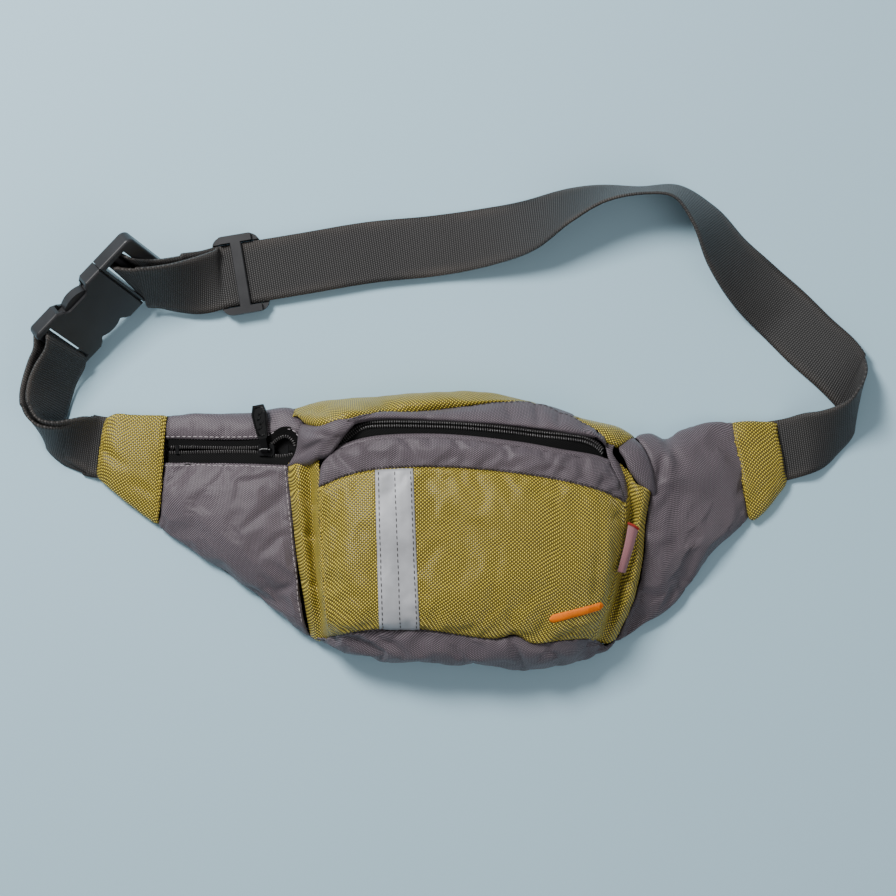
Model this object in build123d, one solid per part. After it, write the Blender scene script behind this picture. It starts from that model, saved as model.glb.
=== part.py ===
from build123d import *
import os
from math import cos, sin, radians

# Waist pack lying on its back. Millimetres, +Z up, +X to the pack's right end, +Y to its top edge.
# The origin is on the back panel's outer face, which lies on Z = 0.

# ---------------------------------------------------------------- driving dimensions
FABRIC = 1.2                # thickness of the shell fabric with its lining
BACK_THICKNESS = 1.5
FOAM_THICKNESS = 3.0
SHELL_START = 1.7           # height at which the front shell is sewn to the back panel
PACK_LEFT = -209.0
PACK_RIGHT = 209.0
WING_START_LEFT = -168.5
WING_START_RIGHT = 185.0
SEAM_LEFT = -92.0           # where the left wing meets the olive side gusset
SEAM_RIGHT = 129.0
PANEL_LEFT = -74.0          # the front panel's side seams
PANEL_RIGHT = 104.0
PANEL_TOP = 39.0            # seam between the front panel and the grey band
PANEL_BOTTOM = -60.0        # seam between the front panel and the bottom gusset
SEAM_GAP = 0.15             # half of the gap left between neighbouring panels

WEBBING_WIDTH = 38.0
WEBBING_THICKNESS = 1.4
LAYER_OFFSET = 1.0          # from the middle of the doubled strap to the middle of each layer

BUCKLE_CENTRE = (-208.5, 140.8, 27.0)
BUCKLE_HEADING = 45.8       # degrees from +X, towards the plug's end
BUCKLE_PITCH = 4.0
BUCKLE_ROLL = 54.0
BUCKLE_WIDTH = 48.0
BUCKLE_THICKNESS = 10.0
SOCKET_END = -41.0          # local x of the buckle's two ends
PLUG_END = 43.4
SOCKET_MOUTH = 16.0         # local x of the socket's open end
SOCKET_BAR = -38.6          # local x of the webbing bars
PLUG_BAR = 27.0
PLUG_END_BAR = 34.0         # local x at which the plug's wide end bar starts
CAVITY_HALF_WIDTH = 22.6
CAVITY_HALF_HEIGHT = 3.2
WAIST = 3.0                 # how far the socket narrows beside the press pads
NARROW_START = -17.5        # the socket is narrower between these two, beside the press pads
NARROW_END = 1.0
SOCKET_SLOT_END = -30.5     # local x at which the socket's webbing slot stops
SOCKET_FLOOR = -27.0        # local x of the cavity's closed end
WINDOW_MIDDLE = -8.2        # local x of the middle of each press pad
WINDOW_LENGTH = 20.0
WINDOW_WIDTH = 8.4
PLUG_SLOT_START = 18.4      # local x at which the plug's first webbing slot starts
PLUG_BASE = (7.0, 22.0, 2.9)     # start, half width and half height of the base in the socket
GUIDE = (-24.0, 3.0, 2.4)        # the same for the guide tongue
PRONG_HALF_HEIGHT = 2.9
PAD_RADIUS = 14.0
THROUGH = 60.0              # length that is sure to cut right through a piece
BAR_SIZE = 4.4
SLOT_WIDTH = 40.0
PRONG_PIVOT = (5.0, 16.5)
PRONG_RADIUS = 2.6
RUNNING_GAP = 0.35
LOOP_RADIUS = 3.9           # from a bar's axis to the middle of the webbing round it
FLOOR_CLEARANCE = 0.9       # from the floor to the middle of webbing that lies on it

ADJUSTER_CENTRE = (-124.2, 159.0)
ADJUSTER_HEADING = 9.5
ADJUSTER_LENGTH = 30.0
ADJUSTER_WIDTH = 49.0

COIL_HALF_WIDTH = 2.2
COIL_HALF_HEIGHT = 1.1
COIL_SLIT = 0.65            # half of the gap between the two coil rows
SLIDER_LENGTH = 10.5
SLIDER_HALF_WIDTH = 3.6
NECK_LENGTH = 6.5           # from the puller's axis to where its tongue may bend
PULLER_EYE_OUTER = 2.0
PULLER_EYE_BORE = 1.15
BRIDGE_RADIUS = 0.8
BRIDGE_HEIGHT = 5.0         # height of the puller's axis above the zip

# Stations of the front shell: x, bottom edge y, top edge y, height of the front face.
STATIONS = [
    (WING_START_LEFT, 3.0, 71.0, 6.5),
    (SEAM_LEFT, -53.0, 76.0, 24.0),
    (PANEL_LEFT, -66.0, 80.0, 44.0),
    (0.0, -81.0, 86.0, 49.0),
    (60.0, -84.0, 77.0, 49.0),
    (PANEL_RIGHT, -75.0, 65.0, 45.0),
    (SEAM_RIGHT, -60.0, 59.0, 25.0),
    (WING_START_RIGHT, 5.0, 67.0, 6.5),
]

# Cross-section of the shell: share of the width from the bottom edge, share of the height.
SECTION = [(0.0, 0.15), (0.13, 0.93), (0.40, 1.0), (0.72, 1.0), (0.885, 0.68), (0.92, 0.5), (1.0, 0.17)]

# The pack's outline on the ground, from the left tab's lower corner, clockwise along the top edge.
BACK_OUTLINE = [
    (-213, 34), (PACK_LEFT, 68), (-169, 71), (-118, 72), (-92, 76), (-74, 80), (-37, 84), (0, 86),
    (31, 85), (75, 73.5), (115, 61.5), (137, 58), (162, 66), (184, 67.5), (PACK_RIGHT, 67), (214, 31),
    (192, 4), (162, -25), (131, -59), (104, -75), (75, -82), (50, -85), (0, -81), (-37, -79),
    (-74, -66), (-96, -53), (-131, -28), (-175, 3.5),
]
FOAM_OUTLINE = [
    (-84, -50), (-84, 66), (-60, 74), (0, 81), (50, 74), (100, 58), (122, 50), (122, -50),
    (100, -66), (50, -76), (0, -74), (-60, -62),
]

# The waist strap's two edges, from the right-hand tab round to the strap adjuster: outer edge, inner edge.
STRAP_EDGES = [
    ((197, 65, 3.8), (203, 29, 3.8)),
    ((211, 68, 3.8), (217, 32, 3.8)),
    ((221, 70, 11), (227, 36, 9)),
    ((232, 73, 22), (239, 39, 8)),
    ((244, 76, 28), (247, 48, 5)),
    ((255, 80, 29), (254, 56, 2.5)),
    ((261, 88, 24), (256, 62, 1)),
    ((265, 97, 16), (255, 66, 0.9)),
    ((265, 105, 9), (250, 73, 0.9)),
    ((258, 114, 6), (239, 86, 1.2)),
    ((242, 131, 4), (217, 105, 2)),
    ((227, 147, 1.5), (200, 121, 2)),
    ((208, 164, 0.9), (182, 138, 11)),
    ((189, 180, 0.9), (164, 163, 24)),
    ((170, 201, 0.9), (154, 188, 33)),
    ((148, 214, 0.9), (142, 204, 37)),
    ((124, 213, 0.9), (125, 206, 37.5)),
    ((101, 214, 0.9), (100, 201, 36)),
    ((81, 212, 0.9), (79, 189, 31)),
    ((52, 205, 0.9), (56, 172, 21)),
    ((22, 199, 0.9), (26, 163, 11)),
    ((-7, 195, 1.5), (-3, 158, 6)),
]
STRAP_FLAT_HEIGHT = 5.6     # the strap runs flat at this height where the adjuster slides on it
STRAP_FLAT_START = 82.0     # distances from the adjuster's centre, along the strap
STRAP_FLAT_END = -12.0

# From the adjuster to the buckle's plug: the front layer's upper and lower edges.
FRONT_LAYER_EDGES = [
    ((-146, 175, 11), (-144, 137, 5.8)),
    ((-155, 172, 20), (-153, 138, 6.4)),
    ((-165, 169, 31), (-161, 142, 8.5)),
    ((-176, 171, 41), (-166, 151, 14)),
]
REAR_LAYER_EDGES = [
    ((-180, 184, 37), (-165, 160, 8)),
    ((-169, 182, 27), (-157, 151, 2)),
    ((-157, 179, 14), (-150, 142, 0.9)),
]

# The doubled strap on the left, from its tab to the buckle's socket: inner edge, outer edge.
LEFT_STRAP_EDGES = [
    ((-197, 69, 3.8), (-200, 33, 3.8)),
    ((-211, 69, 3.8), (-214, 33, 3.8)),
    ((-218, 70, 11), (-220, 36, 6)),
    ((-226, 69, 19), (-229, 40, 3)),
    ((-234, 68, 26), (-236, 46, 2)),
    ((-242, 69, 28), (-238, 51, 2)),
    ((-249, 74, 26), (-239, 57, 2)),
    ((-254, 83, 24), (-237, 64, 2)),
    ((-252, 92, 25), (-233, 74, 2)),
    ((-249, 100, 29), (-229, 86, 3)),
    ((-247, 108, 34), (-227, 95, 5)),
]

parts = {}


# ---------------------------------------------------------------- helpers
def polygon(points, bottom, top):
    """A straight prism on a flat outline."""
    face = make_face(Polyline(*points, close=True))
    return Pos(0, 0, bottom) * extrude(face, top - bottom)


def block(low, high):
    size = [h - l for l, h in zip(low, high)]
    middle = [(l + h) / 2 for l, h in zip(low, high)]
    return Pos(*middle) * Box(*size)


def section_points(station, grow):
    """One cross-section of the shell, grown outwards by some millimetres, down past the back panel."""
    x, bottom, top, height = station
    width = top - bottom
    points = [(x, bottom - grow, SHELL_START if grow >= 0 else 0)]
    for along, up in SECTION:
        side = -grow if along < 0.1 else grow if along > 0.9 else 0
        points.append((x, bottom + along * width + side, max(up * height + grow, SHELL_START + 0.4)))
    points.append((x, top + grow, SHELL_START if grow >= 0 else 0))
    return points


def loaf(grow):
    wires = [Wire.make_polygon([Vector(*p) for p in section_points(s, grow)], close=True) for s in STATIONS]
    return Solid.make_loft(wires, ruled=True)


def frame_at(origin, along, normal):
    """A plane whose X runs along a direction and whose Z is as near as it can be to the normal."""
    x = Vector(*along).normalized()
    z = Vector(*normal)
    z = (z - x * z.dot(x)).normalized()
    return Plane(origin=origin, x_dir=x, z_dir=z)


def webbing_pairs(edges):
    """Edge pairs brought to the webbing's true width. The lower edge of each pair stays put."""
    pairs = []
    for first, second in edges:
        a, b = Vector(*first), Vector(*second)
        across = (b - a).normalized() * WEBBING_WIDTH
        pairs.append((a, a + across) if a.Z < b.Z else (b - across, b))
    return pairs


def webbing_sides(pairs):
    """The unit direction square to the webbing's face at each station."""
    middles = [(a + b) * 0.5 for a, b in pairs]
    sides = []
    for i, (a, b) in enumerate(pairs):
        run = middles[min(i + 1, len(pairs) - 1)] - middles[max(i - 1, 0)]
        sides.append(run.cross(b - a).normalized())
    return sides


def shifted(edges, distance):
    """The same stations, moved square to the webbing's face."""
    pairs = webbing_pairs(edges)
    return [(a + n * distance, b + n * distance) for (a, b), n in zip(pairs, webbing_sides(pairs))]


def webbing(edges):
    """Flat webbing through stations given by its two edges."""
    pairs = webbing_pairs(edges)
    wires = []
    for (a, b), side in zip(pairs, webbing_sides(pairs)):
        half = side * (WEBBING_THICKNESS / 2)
        wires.append(Wire.make_polygon([a + half, b + half, b - half, a - half], close=True))
    return Solid.make_loft(wires, ruled=True)


# ---------------------------------------------------------------- back, foam and end tabs
parts["back_panel"] = polygon(BACK_OUTLINE, 0, BACK_THICKNESS)
foam_top = SHELL_START + FOAM_THICKNESS
parts["back_foam"] = polygon(FOAM_OUTLINE, SHELL_START, foam_top)
parts["back_lining"] = polygon(FOAM_OUTLINE, foam_top + 0.2, foam_top + 0.7)

TAB_TOP = 7.0
TAB_SLOT_TOP = 5.8
TAB_SLOT_DEPTH = 14.0
left_tab = polygon([(-213, 34), (PACK_LEFT, 68), (-169.2, 71), (-174, 4)], SHELL_START, TAB_TOP)
right_tab = polygon([(185.6, 67), (PACK_RIGHT, 67), (214, 31), (192, 4), (185.6, 6)], SHELL_START, TAB_TOP)
parts["end_tab_left"] = left_tab - block((-230, 0, 0), (PACK_LEFT + TAB_SLOT_DEPTH, 80, TAB_SLOT_TOP))
parts["end_tab_right"] = right_tab - block((PACK_RIGHT - TAB_SLOT_DEPTH, 0, 0), (230, 80, TAB_SLOT_TOP))

# ---------------------------------------------------------------- zips: where each one lies
# name: centre, direction, normal, low and high end of the tape, tape width below and above the coil,
# slider's place along the zip, direction in which the puller lies (degrees from the zip's direction),
# puller's length
ZIPS = {
    "wing_zip": dict(centre=(-107, 50, 18.2), along=(0.984, 0, 0.179), normal=(0, 0, 1),
                     ends=(-58.0, 14.0), tape=(7.6, 7.6), slider=0.0, puller_side=90,
                     pull_length=28.0),
    "front_zip": dict(centre=(23.8, 62.0, 37.5), along=(0.999, -0.045, 0), normal=(0, 0.5, 0.866),
                      ends=(-88.5, 72.0), tape=(8.0, 3.2), slider=-80.0, puller_side=215,
                      pull_length=15.0),
    "main_zip": dict(centre=(8, 64.1, 13.2), along=(0.9988, -0.05, 0), normal=(0, 0, 1),
                     ends=(-66.0, 66.0), tape=(5.0, 5.0), slider=50.0, puller_side=180,
                     pull_length=20.0),
}


def zip_plane(name):
    z = ZIPS[name]
    return frame_at(z["centre"], z["along"], z["normal"])


# ---------------------------------------------------------------- front shell, cut into its panels
shell = loaf(0) - loaf(-FABRIC)

wing_slot = block((-59, -8, -8), (14.5, 8, 8))
front_slot = block((-92.5, -8.4, -6), (72.5, 4.3, 8))
wing_slot = zip_plane("wing_zip").location * wing_slot
front_slot = zip_plane("front_zip").location * front_slot
rear_slit = zip_plane("main_zip").location * block((-74, 3.5, 4.5), (72, 6.5, 22))

parts["wing_left"] = shell & block((-300, -200, 0), (SEAM_LEFT - SEAM_GAP, 200, 80))
parts["wing_left"] = parts["wing_left"] - wing_slot
parts["wing_right"] = shell & block((SEAM_RIGHT + SEAM_GAP, -200, 0), (300, 200, 80))

# The line that parts the olive top panel from the pocket in front of it follows the main zip's slit.
TOP_SPLIT = [(SEAM_LEFT - 1, 45), (-74, 62), (-66, 72), (80, 64.9), (PANEL_RIGHT, 56), (SEAM_RIGHT + 1, 40)]
above_split = polygon(TOP_SPLIT + [(SEAM_RIGHT + 1, 200), (SEAM_LEFT - 1, 200)], -1, 90)
middle = shell & block((SEAM_LEFT + SEAM_GAP, -200, 0), (SEAM_RIGHT - SEAM_GAP, 200, 80))
middle = middle - rear_slit - front_slot
parts["top_panel"] = middle & above_split
pocket = middle - above_split
parts["side_gusset_left"] = pocket & block((-200, -200, 0), (PANEL_LEFT - SEAM_GAP, 200, 80))
parts["side_gusset_right"] = pocket & block((PANEL_RIGHT + SEAM_GAP, -200, 0), (200, 200, 80))
face = pocket & block((PANEL_LEFT + SEAM_GAP, -200, 0), (PANEL_RIGHT - SEAM_GAP, 200, 80))
parts["bottom_gusset"] = face & block((-200, -200, 0), (200, PANEL_BOTTOM - SEAM_GAP, 80))
parts["front_panel"] = face & block((-200, PANEL_BOTTOM + SEAM_GAP, 0), (200, PANEL_TOP - SEAM_GAP, 80))
band = face & block((-200, PANEL_TOP + SEAM_GAP, 0), (200, 200, 80))
strip_line = [(-200, 78.0), (200, 52.2), (200, 200), (-200, 200)]
above_zip = polygon(strip_line, 0, 90)
parts["pocket_band"] = band - above_zip
parts["pocket_top_strip"] = band & above_zip

# ---------------------------------------------------------------- linings inside
DIVIDER_HEIGHT = 22.0
divider = block((-66, -57, DIVIDER_HEIGHT), (90, 55, DIVIDER_HEIGHT + 0.6))
riser = block((-66, 55, DIVIDER_HEIGHT), (78, 55.6, 26))
parts["pocket_divider"] = divider + riser
parts["wing_pocket_lining"] = polygon([(-162, 8), (-162, 66), (-96, 70), (-96, -42)], 2.0, 2.5)


# ---------------------------------------------------------------- flat pieces sewn on the front panel
def applied(outline, low=0.15, high=0.75):
    """A thin flat piece that follows the shell's front face."""
    skin = loaf(high) - loaf(low)
    return skin & polygon(outline, 12, 80)


parts["reflective_strip"] = applied([(-39.5, -59.5), (-15.5, -59.5), (-15.5, 38.5), (-39.5, 38.5)])
parts["side_label"] = applied([(105, -27), (117, -24), (117, 5), (105, 3)])
BAR_STITCH_CENTRE = (83, -49)
bar_outline = Pos(*BAR_STITCH_CENTRE, 12) * Rot(0, 0, 14) * extrude(SlotOverall(34, 6), 60)
parts["embroidered_bar"] = (loaf(0.75) - loaf(0.15)) & bar_outline


# ---------------------------------------------------------------- zip pieces
def zip_tapes(z):
    low, high = z["ends"]
    lower = block((low, -z["tape"][0], -0.3), (high, -COIL_HALF_WIDTH - 0.1, 0.3))
    upper = block((low, COIL_HALF_WIDTH + 0.1, -0.3), (high, z["tape"][1], 0.3))
    return Compound(children=[lower, upper])


def zip_coil(z):
    low, high = z["ends"]
    rows = []
    for side in (-1, 1):
        near, far = sorted((side * COIL_SLIT, side * COIL_HALF_WIDTH))
        row = block((low + 3, near, -COIL_HALF_HEIGHT), (high - 3, far, COIL_HALF_HEIGHT))
        rows.append(fillet(row.edges().filter_by(Axis.X), 0.4))
    return Compound(children=rows)


def zip_stops(z):
    low, high = z["ends"]
    stops = []
    for end in (low, high - 2.2):
        stops.append(block((end + 0.1, -2.6, 0.5), (end + 2.1, 2.6, 1.7)))
    return Compound(children=stops)


def zip_slider(z):
    """Top and bottom plates joined by a narrow wedge, with a round bridge that holds the puller."""
    half = SLIDER_LENGTH / 2
    body = block((-half, -SLIDER_HALF_WIDTH, 1.4), (half, SLIDER_HALF_WIDTH, 2.6))
    body += block((-half, -SLIDER_HALF_WIDTH, -2.6), (half, SLIDER_HALF_WIDTH, -1.4))
    body = fillet(body.edges().filter_by(Axis.Z), 1.6)
    body += block((2.5, -0.3, -2), (4.5, 0.3, 2))
    bridge = Pos(0, 0, BRIDGE_HEIGHT) * Rot(0, 90, 0) * Cylinder(BRIDGE_RADIUS, 6.6)
    for side in (-1, 1):
        bridge += block((side * 3.0 - 0.5, -0.8, 2.0), (side * 3.0 + 0.5, 0.8, BRIDGE_HEIGHT + 0.7))
    # The bridge lies along the puller's swing axis, square to the way the puller points.
    turn = z["puller_side"] - 90
    return Pos(z["slider"], 0, 0) * (body + Rot(0, 0, turn) * bridge)


def zip_puller(z, lean=0.0, droop=0.0):
    """A flat tongue on a round eye, lying along +Y before it is turned, and bent down past the slider."""
    eye = Rot(0, 90, 0) * Cylinder(PULLER_EYE_OUTER, 4.2)
    neck = block((-2.1, 1.0, -0.9), (2.1, NECK_LENGTH + 0.5, 0.9))
    reach = z["pull_length"] - NECK_LENGTH
    outline = [(-2.1, 0), (2.1, 0), (3.2, 1.5), (5.0, reach - 6), (3.4, reach),
               (-3.4, reach), (-5.0, reach - 6), (-3.2, 1.5)]
    tongue = Pos(0, NECK_LENGTH, 0) * Rot(-droop, 0, 0) * polygon(outline, -0.9, 0.9)
    puller = eye + Rot(0, 0, lean) * (neck + tongue)
    puller -= Rot(0, 90, 0) * Cylinder(PULLER_EYE_BORE, 20)
    placed = Rot(0, 0, z["puller_side"] - 90) * puller
    return Pos(z["slider"], 0, BRIDGE_HEIGHT) * placed


PULLER_DROOP = {"wing_zip": 5.0, "front_zip": 22.0, "main_zip": 0.0}
PULLER_LEAN = {"wing_zip": 10.0, "front_zip": 0.0, "main_zip": 0.0}
for name, z in ZIPS.items():
    place = zip_plane(name).location
    parts[name + "_tapes"] = place * zip_tapes(z)
    parts[name + "_coil"] = place * zip_coil(z)
    parts[name + "_stops"] = place * zip_stops(z)
    parts[name + "_slider"] = place * zip_slider(z)
    parts[name + "_puller"] = place * zip_puller(z, PULLER_LEAN[name], PULLER_DROOP[name])


# ---------------------------------------------------------------- side-release buckle
def buckle_plane():
    heading, pitch, roll = (radians(a) for a in (BUCKLE_HEADING, BUCKLE_PITCH, BUCKLE_ROLL))
    x = Vector(cos(heading) * cos(pitch), sin(heading) * cos(pitch), sin(pitch))
    level = Vector(-sin(heading), cos(heading), 0)
    up = x.cross(level)
    raised = level * cos(roll) + up * sin(roll)
    return Plane(origin=BUCKLE_CENTRE, x_dir=x, z_dir=x.cross(raised))


BUCKLE = buckle_plane()
HALF_W = BUCKLE_WIDTH / 2
HALF_T = BUCKLE_THICKNESS / 2


def webbing_bar(x):
    bar = block((x - BAR_SIZE / 2, -HALF_W + 2, -BAR_SIZE / 2), (x + BAR_SIZE / 2, HALF_W - 2, BAR_SIZE / 2))
    return fillet(bar.edges().filter_by(Axis.Y), 1.4)


def mirrored_outline(half):
    """A closed outline from its half with positive y."""
    return half + [(x, -y) for x, y in reversed(half)]


def buckle_socket():
    """Sleeve that narrows beside two side windows, with a webbing slot and its bar."""
    waist = HALF_W - WAIST
    half = [(SOCKET_END, HALF_W), (NARROW_START - 4, HALF_W), (NARROW_START, waist), (NARROW_END, waist),
            (NARROW_END + 3.5, HALF_W), (SOCKET_MOUTH, HALF_W)]
    body = polygon(mirrored_outline(half), -HALF_T, HALF_T)
    body = rounded_end(body, SOCKET_END, 4.0)
    body -= block((SOCKET_FLOOR, -CAVITY_HALF_WIDTH, -CAVITY_HALF_HEIGHT),
                  (SOCKET_MOUTH + 1, CAVITY_HALF_WIDTH, CAVITY_HALF_HEIGHT))
    for side in (-1, 1):
        window = extrude(SlotOverall(WINDOW_LENGTH, WINDOW_WIDTH), THROUGH)
        body -= Pos(WINDOW_MIDDLE, side * (waist + 0.5), -THROUGH / 2) * window
        body -= side_block(side, (NARROW_START + 0.1, NARROW_END), (waist, THROUGH), CAVITY_HALF_HEIGHT)
    body -= block((-THROUGH, -SLOT_WIDTH / 2, -THROUGH), (SOCKET_SLOT_END, SLOT_WIDTH / 2, THROUGH))
    return body + webbing_bar(SOCKET_BAR)


def rounded_end(body, end, radius):
    """The body with its two corners at one end rounded, and its top and bottom rims softened."""
    corners = [e for e in body.edges().filter_by(Axis.Z) if abs(e.center().X - end) < 0.1]
    body = fillet(corners, radius)
    return fillet(body.edges().group_by(Axis.Z)[-1] + body.edges().group_by(Axis.Z)[0], 1.5)


def side_block(side, x_range, y_range, half_height):
    """A block on one side of the buckle's middle line."""
    low, high = sorted((side * y_range[0], side * y_range[1]))
    return block((x_range[0], low, -half_height), (x_range[1], high, half_height))


def buckle_plug():
    """Webbing frame with a middle bar and a wide end bar; its base and guide enter the socket."""
    front = SOCKET_MOUTH + 0.5
    body = block((front, -HALF_W, -HALF_T), (PLUG_END, HALF_W, HALF_T))
    body = rounded_end(body, PLUG_END, 5.0)
    body -= block((PLUG_SLOT_START, -SLOT_WIDTH / 2, -THROUGH), (PLUG_END_BAR, SLOT_WIDTH / 2, THROUGH))
    body += webbing_bar(PLUG_BAR)
    start, half_width, half_height = PLUG_BASE
    body += block((start, -half_width, -half_height), (front + 1, half_width, half_height))
    tip, half_width, half_height = GUIDE
    body += block((tip, -half_width, -half_height), (start + 1, half_width, half_height))
    for side in (-1, 1):
        knuckle = Pos(PRONG_PIVOT[0], side * PRONG_PIVOT[1], 0) * Cylinder(PRONG_RADIUS + RUNNING_GAP, THROUGH)
        body -= knuckle
    return body


def prong(side):
    """Springy arm with its press pad, turning on a round root."""
    x, y = PRONG_PIVOT
    root = Pos(x, y, 0) * Cylinder(PRONG_RADIUS, 2 * PRONG_HALF_HEIGHT)
    arm = block((-21, y - 1.5, -PRONG_HALF_HEIGHT), (x, y + 1.3, PRONG_HALF_HEIGHT))
    disc = Pos(WINDOW_MIDDLE, y - 8.2, 0) * Cylinder(PAD_RADIUS, 2 * PRONG_HALF_HEIGHT)
    pad = disc & side_block(1, (NARROW_START + 0.5, NARROW_END - 0.4), (y, THROUGH), 4.0)
    pad = fillet(pad.edges().filter_by(Axis.Z), 1.2)
    whole = root + arm + pad
    return whole if side > 0 else mirror(whole, about=Plane.XZ)


parts["buckle_socket"] = BUCKLE.location * buckle_socket()
parts["buckle_plug"] = BUCKLE.location * buckle_plug()
parts["prong_left"] = BUCKLE.location * prong(1)
parts["prong_right"] = BUCKLE.location * prong(-1)


def bar_edge(x, z):
    """The two ends of a line across the buckle, beside a bar: raised end, low end."""
    ends = []
    for side in (1, -1):
        point = BUCKLE.location * Pos(x, side * WEBBING_WIDTH / 2, z)
        ends.append(tuple(point.position))
    return tuple(ends)


def bar_wrap(x, angles):
    """Stations of the webbing as it goes round a bar, at angles about the bar's axis."""
    return [bar_edge(x + LOOP_RADIUS * cos(radians(t)), LOOP_RADIUS * sin(radians(t))) for t in angles]


# ---------------------------------------------------------------- straps
heading = radians(ADJUSTER_HEADING)
STRAP_RUN = Vector(cos(heading), sin(heading), 0)
STRAP_ACROSS = Vector(-sin(heading), cos(heading), 0)


def flat_station(distance, height):
    middle = Vector(*ADJUSTER_CENTRE, height) + STRAP_RUN * distance
    reach = STRAP_ACROSS * (WEBBING_WIDTH / 2)
    return tuple(middle + reach), tuple(middle - reach)


flat_run = [flat_station(STRAP_FLAT_START, STRAP_FLAT_HEIGHT), flat_station(STRAP_FLAT_END, STRAP_FLAT_HEIGHT)]
lower_run = [flat_station(-16, FLOOR_CLEARANCE), flat_station(12, FLOOR_CLEARANCE)]
# The webbing passes over the plug's end bar, round its middle bar and back over the end bar.
over_end_bar = [bar_edge(45.5, 8.6), bar_edge(PLUG_END_BAR, 8.6)]
round_plug_bar = bar_wrap(PLUG_BAR, (115, 150, 180, 215, 250, 290, 325, 350))
back_over_end_bar = [bar_edge(31.6, 3.0), bar_edge(33.2, 6.2), bar_edge(36.5, 6.5), bar_edge(45.5, 6.3)]
to_plug = STRAP_EDGES + flat_run + FRONT_LAYER_EDGES + over_end_bar
from_plug = back_over_end_bar + REAR_LAYER_EDGES + lower_run
parts["waist_strap"] = webbing(to_plug + round_plug_bar + from_plug)

round_socket_bar = [bar_edge(SOCKET_BAR - 6, -3)] + bar_wrap(SOCKET_BAR, (-100, -70, -35, 0, 35, 70, 100))
to_socket = shifted(LEFT_STRAP_EDGES, LAYER_OFFSET)
back_to_tab = [bar_edge(SOCKET_BAR - 6, 3)] + shifted(LEFT_STRAP_EDGES, -LAYER_OFFSET)[::-1]
parts["strap_left"] = webbing(to_socket + round_socket_bar + back_to_tab)


# ---------------------------------------------------------------- strap adjuster (tri-glide)
def strap_adjuster():
    """Flat frame: two low outer bars under the webbing and a raised centre bar above it."""
    half_l, half_w = ADJUSTER_LENGTH / 2, ADJUSTER_WIDTH / 2
    frame = block((-half_l, -half_w, 1.9), (half_l, half_w, 9.2))
    frame = fillet(frame.edges().filter_by(Axis.Z), 7.0)
    frame -= block((-30, -SLOT_WIDTH / 2, 4.6), (30, SLOT_WIDTH / 2, 20))
    for side in (-1, 1):
        frame -= block((side * 7.5 - 4, -SLOT_WIDTH / 2, 0), (side * 7.5 + 4, SLOT_WIDTH / 2, 10))
    frame -= block((-3.6, -SLOT_WIDTH / 2, 0), (3.6, SLOT_WIDTH / 2, 10))
    ramp = polygon([(-half_l - 1, -40), (-half_l - 1, 40), (-10, 40), (-10, -40)], 6.4, 12)
    frame = frame - ramp - mirror(ramp, about=Plane.YZ)
    centre_bar = block((-3.5, -SLOT_WIDTH / 2 - 1, 6.7), (3.5, SLOT_WIDTH / 2 + 1, 9.2))
    return frame + fillet(centre_bar.edges().filter_by(Axis.Y), 0.8)


adjuster_place = Plane(origin=(*ADJUSTER_CENTRE, 0), x_dir=STRAP_RUN, z_dir=(0, 0, 1))
parts["strap_adjuster"] = adjuster_place.location * strap_adjuster()

# ---------------------------------------------------------------- export
os.makedirs("parts", exist_ok=True)
for name, shape in parts.items():
    export_step(shape, f"parts/{name}.step")
print(len(parts), "nodes")
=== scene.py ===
"""A waist pack lying on its back: its fabric panels, zips, belt, buckle and adjuster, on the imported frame."""
import math

import bpy
import numpy as np
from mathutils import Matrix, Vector, noise


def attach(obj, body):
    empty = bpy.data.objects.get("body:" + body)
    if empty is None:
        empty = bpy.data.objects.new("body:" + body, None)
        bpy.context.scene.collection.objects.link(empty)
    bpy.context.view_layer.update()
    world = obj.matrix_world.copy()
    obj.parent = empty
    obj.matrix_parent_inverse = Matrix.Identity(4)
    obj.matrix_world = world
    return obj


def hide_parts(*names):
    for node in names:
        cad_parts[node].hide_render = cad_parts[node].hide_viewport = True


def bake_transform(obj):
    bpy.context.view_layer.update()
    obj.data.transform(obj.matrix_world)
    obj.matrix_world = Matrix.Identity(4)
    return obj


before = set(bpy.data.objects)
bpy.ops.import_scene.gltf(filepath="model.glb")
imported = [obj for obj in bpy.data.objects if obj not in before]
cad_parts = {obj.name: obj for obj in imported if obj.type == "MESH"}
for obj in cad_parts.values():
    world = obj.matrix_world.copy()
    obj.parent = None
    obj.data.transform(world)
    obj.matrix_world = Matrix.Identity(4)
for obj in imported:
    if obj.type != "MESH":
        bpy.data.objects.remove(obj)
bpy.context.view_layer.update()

# All points below are in millimetres: X to the right, Y up the picture, Z towards the camera.
MM = 0.001
PACK_MIDDLE = np.array([10.0, 5.0, 8.0])      # a point inside the pack, which tells a panel's outside
CELL = 1.6                                    # size of a fabric mesh's cells
FABRIC = 0.9                                  # thickness of the shell fabric
WEBBING_WIDTH = 38.0
WEBBING_THICKNESS = 1.4


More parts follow.
